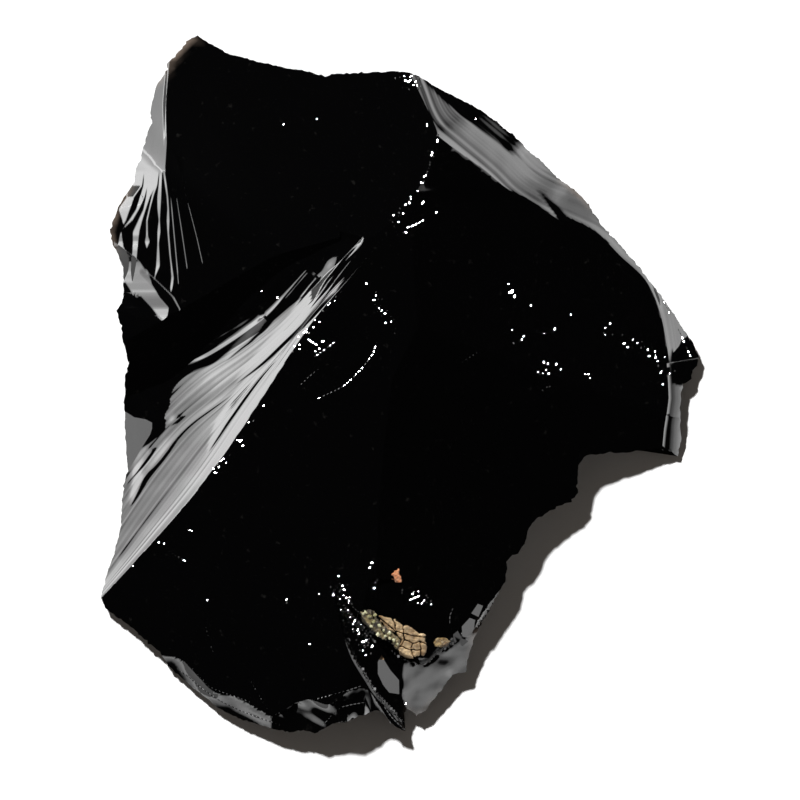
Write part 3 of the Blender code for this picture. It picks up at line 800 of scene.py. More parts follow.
# Each scar with its floor, the places of its grid and the grid's number of faces each way.
SCARS = [
    ("north_west_scar", north_west_scar, rectangle(-50, 5, 16, 58), (60, 50)),
    ("east_scar", east_scar, rectangle(-8, -16, 50, 50), (54, 60)),
    ("south_west_scar", south_west_floor, rectangle(-50, -57, 20, 32), (64, 80)),
    ("south_floor", south_floor, rectangle(-16, -57, 10, -29), (4, 4)),
    ("south_east_scar", south_east_scar, rectangle(-4, -57, 50, 20), (50, 70)),
    ("summit_scar", summit_scar, rectangle(-24, -8, 18, 42), (6, 6)),
    ("fan_scar", fan_scar, fan_place, (180, 280)),
    ("band_scar", band_scar, band_place, (90, 90)),
    ("west_strip", west_strip, west_strip_place, (230, 130)),
    ("east_strip", east_strip, strip_place(east_rim, -14, 14), (26, 112)),
    ("notch_strip", notch_strip, strip_place(notch_rim, -16, 8), (26, 48)),
    ("south_west_bevel", south_west_bevel, rectangle(-46, -57, -13, -35), (80, 60)),
    ("south_bevel", south_bevel, rectangle(-22, -57, 1.5, -42), (94, 60)),
    ("plate_scar", plate_scar, rectangle(-14, -57, 18, -27), (90, 80)),
]


def surface(x, y):
    """The height of the finished top at each place: the lowest of all the scars."""
    heights = [floor(x, y) for name, floor, place, faces in SCARS if name != "fan_scar"]
    kept = np.where(x < VALLEY_EAST, valley_wall(x, y), -TOOL_TOP)
    return np.min(heights + [np.maximum(fan_scar(x, y), kept)], axis=0)


def select_only(*pieces):
    """Selects these pieces and nothing else, and makes the first of them active."""
    bpy.ops.object.select_all(action="DESELECT")
    for piece in pieces:
        piece.select_set(True)
    if pieces:
        bpy.context.view_layer.objects.active = pieces[0]


def outward(piece):
    """Turns all faces of a closed mesh outward."""
    select_only(piece)
    bpy.ops.object.mode_set(mode="EDIT")
    bpy.ops.mesh.select_all(action="SELECT")
    bpy.ops.mesh.normals_make_consistent(inside=False)
    bpy.ops.object.mode_set(mode="OBJECT")


def points_of(piece):
    points = np.empty(len(piece.data.vertices) * 3)
    piece.data.vertices.foreach_get("co", points)
    return points.reshape(-1, 3)


def set_points(piece, points):
    """Moves the piece's points to the given places in millimetres."""
    piece.data.vertices.foreach_set("co", (points * MM).ravel())
    piece.data.update()


def grid_block(name, height, place, faces, thickness):
    """A closed block: a grid whose points take their heights from a function, extruded upright."""
    select_only()
    bpy.ops.mesh.primitive_grid_add(x_subdivisions=faces[0], y_subdivisions=faces[1], size=1)
    block = bpy.context.object
    block.name = name
    shares = points_of(block) + 0.5
    x, y = place(shares[:, 0], shares[:, 1])
    set_points(block, np.column_stack([x, y, height(x, y)]))
    bpy.ops.object.mode_set(mode="EDIT")
    bpy.ops.mesh.select_all(action="SELECT")
    bpy.ops.mesh.extrude_region_move(TRANSFORM_OT_translate={"value": (0, 0, thickness * MM)})
    bpy.ops.object.mode_set(mode="OBJECT")
    outward(block)
    return block


def cut(body, tool):
    """Subtracts a tool from a body and removes the tool."""
    modifier = body.modifiers.new(tool.name, "BOOLEAN")
    modifier.operation = "DIFFERENCE"
    modifier.object = tool
    modifier.solver = "MANIFOLD"
    bpy.context.view_layer.objects.active = body
    bpy.ops.object.modifier_apply(modifier=modifier.name)
    bpy.data.objects.remove(tool, do_unlink=True)


def keep_below(tool, floor, box):
    """Takes away from a tool what lies under a second floor, so that the glass there stays."""
    select_only()
    bpy.ops.mesh.primitive_cube_add(size=1)
    keeper = bpy.context.object
    keeper.name = "keeper"
    corners = points_of(keeper) + 0.5
    x, y = rectangle(*box)(corners[:, 0], corners[:, 1])
    set_points(keeper, np.column_stack([x, y, np.where(corners[:, 2] > 0.5, floor(x, y), -TOOL_TOP)]))
    cut(tool, keeper)


print("scars", len(SCARS), "height at the summit", round(float(surface(*SUMMIT[:2])), 1))

# %% [markdown]
# ## The blank
# The outline in plan is drawn point by point. Below the edge the walls lean inward to a smaller
# base, as on a real chunk that lies on its flattest break. The walls bow in a little between the
# corners of the base. The mesh is made from rings of points, because each ring is the outline
# again, drawn in towards the base.

# %% The blank
BLANK_TOP = 42.0
EDGE_THICKNESS = 0.5
LEAST_EDGE_HEIGHT = 1.0
# The edge's height is levelled over this many points either way.
EDGE_SPREAD = 4
BLADE_TIP, TIP_RISE = (0.2, -51.5), 0.5
WALL_RINGS = 10
WALL_BOW = 0.10
BASE_CENTRE = (-2.0, -4.0)
NORTH_EDGE = [(-30.4, 52.3), (-27.9, 50.8), (-25.8, 49.7), (-23.4, 49.0), (-21.6, 48.5), (-17.4, 47.5),
              (-13.5, 46.8), (-11.0, 46.1), (-10.3, 46.5), (-8.0, 46.6), (-4.6, 46.7), (-0.4, 46.9),
              (1.2, 46.7), (2.3, 46.2), (3.9, 45.4), (6.0, 44.1)]
NORTH_EAST_EDGE = [(8.8, 42.8), (11.6, 41.3), (14.0, 39.6), (16.4, 37.8), (18.3, 36.1), (19.2, 34.9),
                   (21.0, 33.6), (22.6, 32.0), (24.1, 30.6), (25.9, 29.4), (27.5, 28.0), (28.7, 26.3),
                   (30.2, 23.9), (32.4, 21.6), (35.1, 18.6), (37.6, 15.4), (39.7, 12.7), (41.6, 9.9),
                   (43.1, 7.5), (44.0, 6.5)]
EAST_EDGE = [(44.9, 4.0), (44.5, 2.9), (43.8, 2.0), (43.7, 0.9), (42.4, 0.1), (42.0, -3.4),
             (42.1, -6.5), (42.2, -8.3), (41.7, -10.6), (40.8, -10.0), (38.8, -9.6), (35.9, -9.8),
             (33.1, -10.2), (31.6, -10.0), (29.9, -10.4), (27.9, -10.4), (26.7, -12.0), (26.5, -15.2),
             (26.6, -16.0)]
SOUTH_EAST_EDGE = [(25.6, -17.5), (24.2, -17.9), (22.4, -18.9), (20.4, -20.1), (19.3, -21.5),
                   (18.6, -23.8), (17.9, -24.9), (16.1, -26.1), (15.7, -29.4), (14.6, -31.2),
                   (13.9, -32.6), (13.1, -34.2), (12.2, -35.6), (10.9, -38.4), (10.2, -40.6)]
PLATE_EDGE = [(9.8, -43.1), (7.9, -43.4), (3.8, -48.8), (2.4, -49.6), (1.0, -48.5), (0.5, -49.4),
              (0.2, -50.5), (0.7, -51.9), (-0.6, -51.4), (-1.8, -50.3), (-2.7, -49.1), (-3.6, -48.7)]
SOUTH_EDGE = [(-5.2, -49.5), (-6.3, -49.6), (-7.5, -50.3), (-10.3, -50.9), (-11.9, -51.7),
              (-12.9, -52.3), (-14.5, -51.8), (-16.6, -52.1), (-18.7, -51.8), (-21.0, -51.0),
              (-24.4, -50.0), (-27.2, -48.7), (-30.1, -46.4), (-31.8, -45.0), (-34.5, -42.5),
              (-36.3, -40.0), (-38.2, -38.4), (-40.3, -36.5), (-42.8, -34.7), (-44.4, -33.5)]
WEST_EDGE = [(-44.9, -32.3), (-44.9, -31.1), (-44.3, -28.8), (-43.4, -26.3), (-42.5, -23.3),
             (-42.0, -21.0), (-41.8, -16.9), (-41.4, -14.2), (-41.2, -9.6), (-41.5, -4.5),
             (-41.6, -2.9), (-41.3, -1.0), (-41.3, 1.7), (-40.7, 3.3), (-41.2, 5.2), (-41.7, 7.0),
             (-41.7, 8.4), (-42.2, 9.7), (-42.5, 11.2), (-41.6, 12.7), (-41.5, 15.9), (-41.6, 17.6)]
NORTH_WEST_EDGE = [(-42.2, 19.4), (-43.1, 21.1), (-43.5, 22.9), (-43.0, 24.8), (-42.4, 26.6),
                   (-40.9, 28.9), (-39.9, 30.4), (-39.7, 32.5), (-38.8, 34.0), (-38.5, 35.9),
                   (-38.0, 37.5), (-37.3, 39.2), (-37.4, 40.8), (-37.1, 43.0), (-36.7, 44.5),
                   (-36.0, 45.8), (-34.8, 47.4), (-34.9, 48.2), (-33.5, 49.5), (-32.6, 50.8),
                   (-31.2, 52.0)]
OUTLINE = (NORTH_EDGE + NORTH_EAST_EDGE + EAST_EDGE + SOUTH_EAST_EDGE + PLATE_EDGE + SOUTH_EDGE
           + WEST_EDGE + NORTH_WEST_EDGE)
BASE = [(-27.0, 40.0), (0.0, 37.0), (19.0, 25.0), (37.5, 3.5), (34.0, -6.5), (23.0, -9.0),
        (12.0, -24.0), (2.0, -37.0), (-14.0, -45.0), (-27.0, -41.0), (-38.0, -28.0), (-36.5, -8.0),
        (-34.5, 16.0)]
EDGE_STEP = 0.45
EDGE_ROUGHNESS = 0.07
EDGE_SEED = 11


def fine_outline():
    """The outline at small steps, with the slight unevenness of a broken edge."""
    corners = np.array(OUTLINE + OUTLINE[:1])
    sides = []
    for start, end in zip(corners[:-1], corners[1:]):
        count = max(1, round(np.hypot(*(end - start)) / EDGE_STEP))
        sides.append(start + (end - start) * np.arange(count)[:, None] / count)
    points = np.vstack(sides)
    return points + np.random.default_rng(EDGE_SEED).normal(0, EDGE_ROUGHNESS, points.shape)


def edge_heights(outline):
    """How high the walls reach at each point: just under the top, low at the blade's tip, and
    evened out along the edge."""
    edge = np.maximum(surface(*outline.T) - EDGE_THICKNESS, LEAST_EDGE_HEIGHT)
    tip_reach = np.hypot(*(outline - np.array(BLADE_TIP)).T)
    edge = np.minimum(edge, LEAST_EDGE_HEIGHT + TIP_RISE * tip_reach)
    spread = range(-EDGE_SPREAD, EDGE_SPREAD + 1)
    for even_out in (np.min, np.mean):
        edge = even_out([np.roll(edge, shift) for shift in spread], axis=0)
    return edge


def base_point(place):
    """Where the line from the base's centre towards place crosses the base's outline, and how far
    along that side of the base it lies, from 0 to 1."""
    centre = np.array(BASE_CENTRE)
    ray = np.array(place) - centre
    for start, end in zip(BASE, BASE[1:] + BASE[:1]):
        start, side = np.array(start) - centre, np.array(end) - np.array(start)
        turn = ray[0] * side[1] - ray[1] * side[0]
        reach = (start[0] * side[1] - start[1] * side[0]) / turn
        share = (start[0] * ray[1] - start[1] * ray[0]) / turn
        if reach > 0 and 0 <= share <= 1:
            return centre + reach * ray, share
    raise ValueError("the base outline doesn't close around its centre")


def wall_rings(outline):
    """Rings of points: the outline at the blank's top, at the edge, and in steps down to the base."""
    edge = edge_heights(outline)
    feet, shares = zip(*[base_point(place) for place in outline])
    feet = np.array(feet)
    hollow = WALL_BOW * (1 - np.abs(2 * np.array(shares) - 1) ** 2)
    rings = [np.column_stack([outline, np.full(len(outline), BLANK_TOP)])]
    for ring in range(WALL_RINGS + 1):
        down = ring / WALL_RINGS
        share = (1 - down) * (1 - 4 * hollow * down * (1 - down))
        plan = feet + (outline - feet) * share[:, None]
        rings.append(np.column_stack([plan, edge * (1 - down)]))
    return rings


def blank():
    """The chunk before any scar: its outline stood up, over walls that lean in to the base."""
    rings = wall_rings(fine_outline())
    count = len(rings[0])
    faces = [list(range(count)), list(range(len(rings) * count - 1, (len(rings) - 1) * count - 1, -1))]
    for low in range(0, (len(rings) - 1) * count, count):
        for i in range(count):
            after = (i + 1) % count
            faces.append([low + i, low + count + i, low + count + after, low + after])
    mesh = bpy.data.meshes.new("chunk")
    mesh.from_pydata((np.vstack(rings) * MM).tolist(), [], faces)
    body = bpy.data.objects.new("chunk", mesh)
    bpy.context.collection.objects.link(body)
    outward(body)
    return body


chunk = blank()
print("blank faces", len(chunk.data.polygons))

# %% [markdown]
# ## Cutting the scars
# The tools are subtracted one after the other. The manifold solver is used because both meshes are
# closed, and it is quick and clean on such meshes. The fan's tool first loses what lies under the
# valley wall, so that this wall stays standing.

# %% Cut the scars
for name, floor, place, faces in SCARS:
    tool = grid_block(name, floor, place, faces, TOOL_TOP)
    if name == "fan_scar":
        keep_below(tool, valley_wall, VALLEY_BOX)
    cut(chunk, tool)
    print(name, "leaves", len(chunk.data.polygons), "faces")

# %% [markdown]
# ## Glints and glitter
# The fracture left small chips along the ridges and specks in the open faces. Seen from above
# they flash, because a nick's flat floor can lean straight at the key light. A mirror leans half
# as far as the light it shows, which gives each lean below. Longer lines are chains of short
# nicks, and lanes hold random ones.

# %% Glints and glitter
KEY_DIRECTION = (118.0, 55.0)
# Each lean is (tilt, azimuth) in degrees. This one mirrors the key light.
FLASH_LEAN = ((90.0 - KEY_DIRECTION[1]) / 2, KEY_DIRECTION[0])
# These mirror the dim light in the south-east and the bright one in the west.
SKY_LEAN, WEST_LEAN = (21.0, -55.0), (36.4, 196.0)
# Nicks that lean at a soft box instead only glow: in the west, and in the east.
GLOW_LEANS = [(41.0, 180.0), (41.0, 15.0)]
# Round the crust, from here to the south and east, a nick glows with the dim light.
CRUST_NORTH, CRUST_WEST = -26.0, -10.5
NICK_STEP, NICK_GAP = 0.6, 0.05
NICK_SEED, GLITTER_SEED = 97, 91
# The random spread of a nick's width in a line and length of a single glint.
LINE_SPREAD, DOT_SPREAD, DOT_WIDTH = (0.7, 1.2), (0.9, 1.5), 0.8
# Glitter: what share flashes, and what share flashes or glows. The rest leans a little off.
GLITTER_SHARES = (0.3, 0.75)
GLITTER_SIZES, GLITTER_LENGTHS, GLITTER_OFF = (0.08, 0.24), (1, 2.2), (1, 5)
# Lines of glints: (width, share that flashes, points). Each is a chain of short flat nicks.
GLINT_LINES = [
    (0.26, 0.85, [(0.9, 23.5), (2.0, 23.9), (3.5, 24.7)]),
    (0.16, 0.6, [(3.9, 39.7), (4.0, 38.5)]),
    (0.14, 0.35, [(-9.7, 6.6), (-11.3, 5.4), (-13.1, 4.1)]),
    (0.12, 0.35, [(-12.3, 2.5), (-14.0, 1.0), (-15.6, -0.5)]),
    (0.16, 0.6, [(-3.4, 7.2), (-4.1, 4.7), (-4.9, 3.7), (-5.9, 2.4), (-7.4, 0.9), (-8.8, -0.3),
                 (-10.3, -1.0), (-12.4, -2.0)]),
    (0.2, 0.6, [(-14.3, 7.3), (-13.4, 6.6), (-12.4, 6.0)]),
    (0.2, 0.6, [(-26.3, -10.8), (-27.1, -11.4)]),
    (0.14, 0.35, [(-35.1, -24.6), (-33.9, -25.5), (-32.2, -26.4)]),
    (0.14, 0.35, [(-31.4, -28.1), (-31.0, -29.0)]),
    (0.14, 0.35, [(-32.3, -21.6), (-31.2, -21.8)]),
    (0.3, 0.85, [(27.4, 1.7), (28.3, 1.7)]),
    (0.12, 0.35, [(9.2, 3.5), (10.4, 4.2), (11.8, 5.1)]),
    (0.12, 0.35, [(21.8, -0.3), (22.7, -0.1)]),
    (0.26, 0.85, [(-17.1, -31.8), (-17.1, -32.8)]),
    (0.2, 0.6, [(-12.4, -31.3), (-11.6, -30.9)]),
    (0.16, 0.0, [(-29.5, -34.8), (-29.1, -37.3), (-28.2, -40.0)]),
    (0.3, 0.85, [(1.3, -32.2), (2.0, -31.8), (2.9, -31.5)]),
    (0.16, 0.0, [(7.9, -33.4), (7.4, -34.6), (7.4, -35.8)]),
    (0.18, 0.0, [(-5.8, -42.4), (-4.7, -44.5), (-3.4, -46.6), (-2.2, -48.6), (-1.3, -49.9),
                 (-0.1, -51.1), (0.7, -51.9)]),
    (0.16, 0.0, [(-4.4, -44.8), (-3.6, -46.2), (-2.3, -47.9), (-0.7, -49.5), (0.2, -50.5)]),
    (0.16, 0.0, [(-33.9, -42.6), (-32.1, -43.6), (-30.1, -45.4), (-27.2, -47.4), (-24.1, -48.9),
                 (-20.8, -50.1), (-18.1, -51.0)]),
    (0.16, 0.0, [(-32.1, -41.9), (-30.9, -43.0), (-28.8, -45.3), (-26.6, -46.2), (-24.5, -46.9),
                 (-22.6, -47.6)]),
    (0.18, 0.0, [(-22.9, -43.7), (-22.0, -45.4), (-20.8, -47.4), (-19.7, -49.2)]),
    (0.18, 0.0, [(-12.8, -47.1), (-10.6, -46.5), (-8.3, -45.9), (-5.9, -45.1)]),
    (0.16, 0.0, [(-11.8, -51.1), (-10.4, -49.6), (-8.9, -48.3), (-7.3, -47.9), (-5.4, -47.6)]),
    (0.12, 0.0, [(-10.6, -51.1), (-8.9, -50.5), (-7.3, -50.4)]),
    (0.12, 0.35, [(9.6, -40.7), (9.9, -41.9), (10.6, -40.4), (10.7, -39.1)]),
    (0.12, 0.35, [(39.4, 12.8), (39.9, 11.8), (40.4, 10.8)]),
    (0.2, 0.6, [(41.7, 8.5), (42.5, 6.8), (43.6, 4.3)]),
    (0.3, 0.85, [(5.4, -46.9), (5.8, -47.4)]),
    (0.14, 0.35, [(0.4, -45.7), (0.5, -47.2), (1.0, -48.3), (1.9, -48.4)]),
]
# Single glints: (x, y, size).
GLINT_DOTS = [(5.5, 36.3, 0.22), (4.7, 34.7, 0.2), (3.1, 30.2, 0.22), (2.5, 29.0, 0.22),
              (1.3, 27.2, 0.3), (3.3, 27.3, 0.45), (5.3, 25.8, 0.42), (0.8, 22.8, 0.25),
              (11.2, 39.8, 0.2), (-12.1, 9.5, 0.22), (-13.0, 8.7, 0.25), (-14.1, 8.0, 0.35),
              (-12.7, 5.1, 0.2), (-11.6, 6.6, 0.3), (-15.1, 6.1, 0.22), (-15.1, 5.4, 0.22),
              (-20.5, -3.0, 0.3), (-22.7, -5.5, 0.25), (-24.0, -8.2, 0.6), (-23.6, -9.0, 0.3),
              (-36.3, -23.5, 0.25), (-35.5, -23.7, 0.2), (-40.2, -27.1, 0.2), (16.4, 14.1, 0.9),
              (17.0, 13.4, 0.5), (16.1, 15.2, 0.3), (31.4, 9.3, 0.35), (33.5, 6.3, 0.35),
              (19.5, 12.0, 0.25), (25.5, 10.6, 0.22), (18.4, 7.4, 0.3), (23.3, 3.2, 0.25),
              (28.4, 1.1, 0.2), (16.7, 8.3, 0.14), (-4.9, 3.7, 0.4), (-17.5, 39.0, 0.2),
              (-12.5, 39.8, 0.18), (-20.8, 14.1, 0.16), (-18.4, 13.1, 0.16), (-5.1, 15.2, 0.3),
              (-13.6, -38.8, 0.2), (-4.1, -28.0, 0.35), (-4.0, -30.3, 0.3), (-5.7, -38.4, 0.5),
              (-4.3, -39.1, 0.4), (1.8, -31.2, 0.3), (3.5, -32.2, 0.25), (5.7, -46.4, 0.35),
              (9.2, -43.7, 0.3), (-29.0, -32.2, 0.16), (38.3, 4.2, 0.25), (39.1, 2.0, 0.3),
              (39.4, 0.2, 0.25), (37.1, 5.4, 0.2)]
# Lanes of fine glitter: (half width, count, points).
GLITTER_LANES = [
    (1.3, 60, [(0.2, 46.5), (1.3, 45.8), (2.3, 44.6)]),
    (0.2, 80, [(5.6, 37.7), (5.3, 35.6), (4.3, 32.6), (2.9, 29.6), (1.4, 27.6), (1.1, 26.7)]),
    (0.9, 26, [(0.5, 26.9), (-0.4, 25.4), (-1.0, 23.9), (-0.4, 22.7)]),
    (0.8, 34, [(-4.0, 13.4), (-3.2, 11.9), (-2.5, 10.4), (-1.4, 9.5), (-0.7, 8.3)]),
    (0.9, 12, [(-14.6, 8.0), (-13.4, 6.8), (-12.2, 5.9)]),
    (0.35, 16, [(-8.5, 14.1), (-11.8, 11.0), (-14.5, 7.8), (-16.1, 5.0)]),
    (0.5, 12, [(-19.6, -0.7), (-23.5, -6.7), (-25.9, -10.5), (-28.0, -12.7)]),
    (1.3, 150, [(-9.4, -30.0), (-8.8, -32.2), (-7.3, -34.9), (-6.1, -37.3), (-4.9, -39.4)]),
    (0.8, 40, [(-6.8, -35.6), (-5.8, -38.2), (-5.2, -39.2)]),
    (1.4, 22, [(-4.3, -26.5), (-3.4, -28.0), (-3.1, -29.8)]),
    (1.2, 18, [(0.5, -30.7), (2.3, -31.9), (4.4, -32.8)]),
    (0.7, 20, [(11.9, 5.6), (17.9, 7.2), (23.9, 8.0), (29.9, 8.1), (35.2, 6.6), (38.2, 5.3)]),
    (1.4, 12, [(38.2, 5.0), (39.2, 3.5), (39.5, 1.1)]),
    (1.5, 16, [(20.9, 0.2), (22.4, 2.6), (23.3, 3.8)]),
    (0.8, 14, [(5.3, -47.2), (7.4, -46.0), (9.2, -43.6)]),
]


def glow_lean(place):
    """The lean that mirrors whichever soft light can be seen from this place."""
    if place[1] < CRUST_NORTH and place[0] > CRUST_WEST:
        return SKY_LEAN
    return GLOW_LEANS[int(place[0] > 0)]


def glint_chain(points, width):
    """Where a line of glints has its nicks: (place, length, width, heading) for each."""
    line = np.array(points)
    ends = np.concatenate([[0], np.cumsum(np.hypot(*np.diff(line, axis=0).T))])
    count = max(1, round(ends[-1] / NICK_STEP))
    stops = np.linspace(0, ends[-1], count + 1)
    knots = np.column_stack([np.interp(stops, ends, line[:, i]) for i in range(2)])
    for i, (start, end) in enumerate(zip(knots[:-1], knots[1:])):
        side = end - start
        taper = width * (0.5 + 0.5 * min(1, (i + 1) / 2, (count - i) / 2))
        yield (start + end) / 2, np.hypot(*side) - NICK_GAP, taper, np.degrees(np.arctan2(side[1], side[0]))


def glitter_nicks():
    """Random fine nicks along the glitter lanes."""
    rng = np.random.default_rng(GLITTER_SEED)
    for half_width, count, points in GLITTER_LANES:
        line = np.array(points)
        for stop in rng.uniform(0, len(line) - 1, count):
            middle = np.array([np.interp(stop, range(len(line)), line[:, i]) for i in range(2)])
            place = middle + rng.normal(0, half_width / 2, 2)
            size = rng.uniform(*GLITTER_SIZES)
            draw = rng.uniform()
            lean = (FLASH_LEAN[0] + rng.uniform(*GLITTER_OFF), FLASH_LEAN[1])
            if draw < GLITTER_SHARES[0]:
                lean = FLASH_LEAN
            elif draw < GLITTER_SHARES[1]:
                lean = glow_lean(place)
            yield place, size * rng.uniform(*GLITTER_LENGTHS), size, rng.uniform(0, 180), lean


def all_nicks():
    """Every nick as (place, length, width, heading, lean): the lines, the dots and the glitter."""
    rng = np.random.default_rng(NICK_SEED)
    for width, shine, points in GLINT_LINES:
        for place, length, across, heading in glint_chain(points, width):
            lean = FLASH_LEAN if rng.uniform() < shine else glow_lean(place)
            yield place, length, across * rng.uniform(*LINE_SPREAD), heading, lean
    for x, y, size in GLINT_DOTS:
        yield (np.array([x, y]), size * rng.uniform(*DOT_SPREAD), size * DOT_WIDTH, rng.uniform(0, 180),
               FLASH_LEAN)
    yield from glitter_nicks()


print("nicks planned", len(list(all_nicks())))

# %% [markdown]
# ## Cutting the nicks and small facets
# A nick is cut with a six-sided cylinder whose underside is a leaning plane that just clears the
# glass. A larger flat break has the same tool with its own corners. All nicks are joined and cut
# at once, so none may touch another.

# %% Cut the nicks and small facets
NICK_SIDES = 6
NICK_DEPTH = 0.02
NICK_TOP = 1.0
NICK_CLEARANCE = 0.01
# Small flat breaks: (lean, corners).
SMALL_FACETS = [
    (SKY_LEAN, [(12.4, -33.1), (11.8, -34.9), (10.5, -34.4), (11.6, -32.8)]),
    ((20.0, -62.0), [(11.6, -35.4), (10.4, -38.0), (9.3, -37.8), (9.2, -36.2), (10.4, -34.9)]),
    ((22.5, -50.0), [(10.2, -38.4), (9.3, -39.2), (8.0, -38.4), (7.9, -37.4), (9.0, -36.5),
                     (9.2, -38.0)]),
    (WEST_LEAN, [(-42.5, -3.2), (-40.0, -4.8), (-38.3, -5.1), (-37.3, -5.6), (-37.3, -6.5),
                 (-37.6, -7.4), (-38.5, -8.8), (-39.8, -11.0), (-42.5, -15.5)]),
    (SKY_LEAN, [(-2.8, -40.4), (-3.4, -41.5), (-3.4, -43.3), (-2.6, -45.0), (-1.5, -46.4),
                (-0.2, -46.4), (-0.2, -44.3), (-1.5, -42.8), (-2.3, -41.5)]),
]


def lean_slopes(lean):
    """The slopes to the east and to the north of a plane that falls towards lean = (tilt, azimuth)."""
    tilt, azimuth = np.radians(lean)
    return -np.tan(tilt) * np.cos(azimuth), -np.tan(tilt) * np.sin(azimuth)


def prism(corners):
    """An upright cylinder with this number of corners, one millimetre in radius."""
    bpy.ops.mesh.primitive_cylinder_add(vertices=corners, radius=MM, depth=2 * MM)
    return bpy.context.object


def flat_cut(tool, x, y, lean):
    """Sets a prism's points over (x, y), its underside a plane that leans and just clears the surface."""
    slope_x, slope_y = lean_slopes(lean)
    low = points_of(tool)[:, 2] < 0
    ground = surface(x, y)
    plane = slope_x * x + slope_y * y
    plane = plane - np.max(plane - ground) - NICK_DEPTH
    set_points(tool, np.column_stack([x, y, np.where(low, plane, ground + NICK_TOP)]))


def nick(place, length, width, heading, lean):
    """The tool of one nick."""
    tool = prism(NICK_SIDES)
    points = points_of(tool) / MM
    x, y = placed(points[:, 1] * length / 2, points[:, 0] * width / 2, place, heading)
    flat_cut(tool, x, y, lean)
    return tool


def small_facet(corners, lean):
    """The tool of a small facet: a prism over the corners."""
    tool = prism(len(corners))
    around = np.degrees(np.arctan2(*points_of(tool)[:, :2].T)) % 360
    order = np.round(around / 360 * len(corners)).astype(int) % len(corners)
    x, y = np.array(corners)[order].T
    flat_cut(tool, x, y, lean)
    outward(tool)
    return tool


def joined(pieces, name):
    """Joins pieces into one with this name."""
    select_only(*pieces)
    bpy.ops.object.join()
    whole = bpy.context.object
    whole.name = name
    outward(whole)
    return whole


def nick_tools():
    """The tools of all nicks. A nick too near an earlier one is left out."""
    kept, tools = [], []
    for place, length, width, heading, lean in all_nicks():
        reach = 0.5 * max(length, width)
        if all(np.hypot(*(place - other)) > reach + more + NICK_CLEARANCE for other, more in kept):
            kept.append((place, reach))
            tools.append(nick(place, length, width, heading, lean))
    return tools


for lean, corners in SMALL_FACETS:
    cut(chunk, small_facet(corners, lean))
tools = nick_tools()
print("nicks cut", len(tools))
cut(chunk, joined(tools, "nicks"))

# %% [markdown]
# ## The crust and the crystals
# The glass holds a little of the rock it melted from: a cracked tan rind on the ledge, a cluster
# of pale green crystals, a golden end and one orange speck. Each is a low lump that follows the
# glass and sinks into it at its border, so no gap shows. Cracks are drawn as broken lines
# and wander a little.

# %% The crust and the crystals
# Each piece of rind: (name, thickness, border).
RINDS = [
    ("tan_crust", 0.35, [
        (-3.6, -34.2), (-2.5, -34.4), (-1.4, -34.8), (0.0, -35.6), (1.1, -36.1), (1.8, -36.5),
        (2.8, -37.1), (3.7, -37.6), (4.1, -38.7), (4.1, -39.7), (3.7, -40.6), (2.3, -40.8),
        (0.8, -40.7), (-0.2, -40.2), (-0.1, -39.0), (0.2, -38.2), (-0.7, -37.3), (-1.9, -36.6),
        (-3.1, -35.5)]),
    ("crystal_bed", 0.3, [
        (-6.2, -33.8), (-5.0, -33.7), (-3.7, -34.1), (-3.1, -35.2), (-1.9, -36.4), (-0.5, -37.5),
        (0.1, -38.2), (-0.2, -39.3), (-0.9, -39.6), (-1.3, -38.4), (-2.4, -38.1), (-3.7, -37.5),
        (-5.0, -36.2), (-5.7, -35.2)]),
    ("gold_end", 0.3, [(4.9, -38.5), (5.6, -37.9), (6.7, -38.0), (7.3, -38.4), (7.1, -39.2),
                       (6.1, -39.3), (5.2, -39.1)]),
    ("orange_spot", 0.45, [
        (-1.5, -28.2), (-1.0, -27.5), (-0.1, -27.4), (0.2, -28.3), (0.0, -29.4), (-0.8, -29.7),
        (-1.4, -29.1)]),
]
# Cracks across the rind.
CRACKS = [
    [(-3.2, -34.8), (-2.0, -35.8), (-0.7, -36.9), (0.5, -37.2), (1.7, -37.6), (4.0, -37.8)],
    [(0.5, -36.0), (0.4, -37.2), (0.7, -38.2), (-0.1, -39.1)],
    [(0.7, -38.2), (1.9, -38.7), (2.9, -38.4), (4.1, -39.0)],
    [(1.9, -38.7), (1.6, -39.7), (2.0, -40.8)],
    [(2.9, -38.4), (3.2, -39.7), (2.9, -40.8)],
    [(-0.2, -39.1), (0.8, -39.4), (1.6, -39.7), (3.2, -39.7)],
    [(-1.3, -34.8), (-0.7, -36.0), (-0.7, -36.9)],
    [(-4.3, -33.9), (-4.0, -35.2), (-4.4, -36.4)],
    [(-2.8, -36.7), (-2.2, -37.6), (-1.9, -38.4)],
]
CRACK_WIDTH = 0.14
RIND_CELLS = 70
RIND_MARGIN, RIND_SLOPE = 0.4, 1.8
SINK = 0.5
# Layers of lumps: (height, lumps in a millimetre, shift in x, shift in y).
ROUGH_TOP = [(0.14, 1.9, 0, 0), (0.07, 5, 0, 0)]
RAGGED_BORDER = [(0.30, 1.1, 7, 0), (0.12, 3, 0, 9)]
CRACK_WANDER = [(0.12, 2.5, 3, 0)]
FAR_AWAY, NEARLY_NONE = 1e9, 1e-9


def distance_to(points, x, y):
    """The distance from each place to a broken line."""
    nearest = np.full(np.shape(x), FAR_AWAY)
    for start, end in zip(points[:-1], points[1:]):
        side_x, side_y = end[0] - start[0], end[1] - start[1]
        share = ((x - start[0]) * side_x + (y - start[1]) * side_y) / (side_x**2 + side_y**2)
        share = np.clip(share, 0, 1)
        nearest = np.minimum(nearest, np.hypot(x - start[0] - share * side_x, y - start[1] - share * side_y))
    return nearest


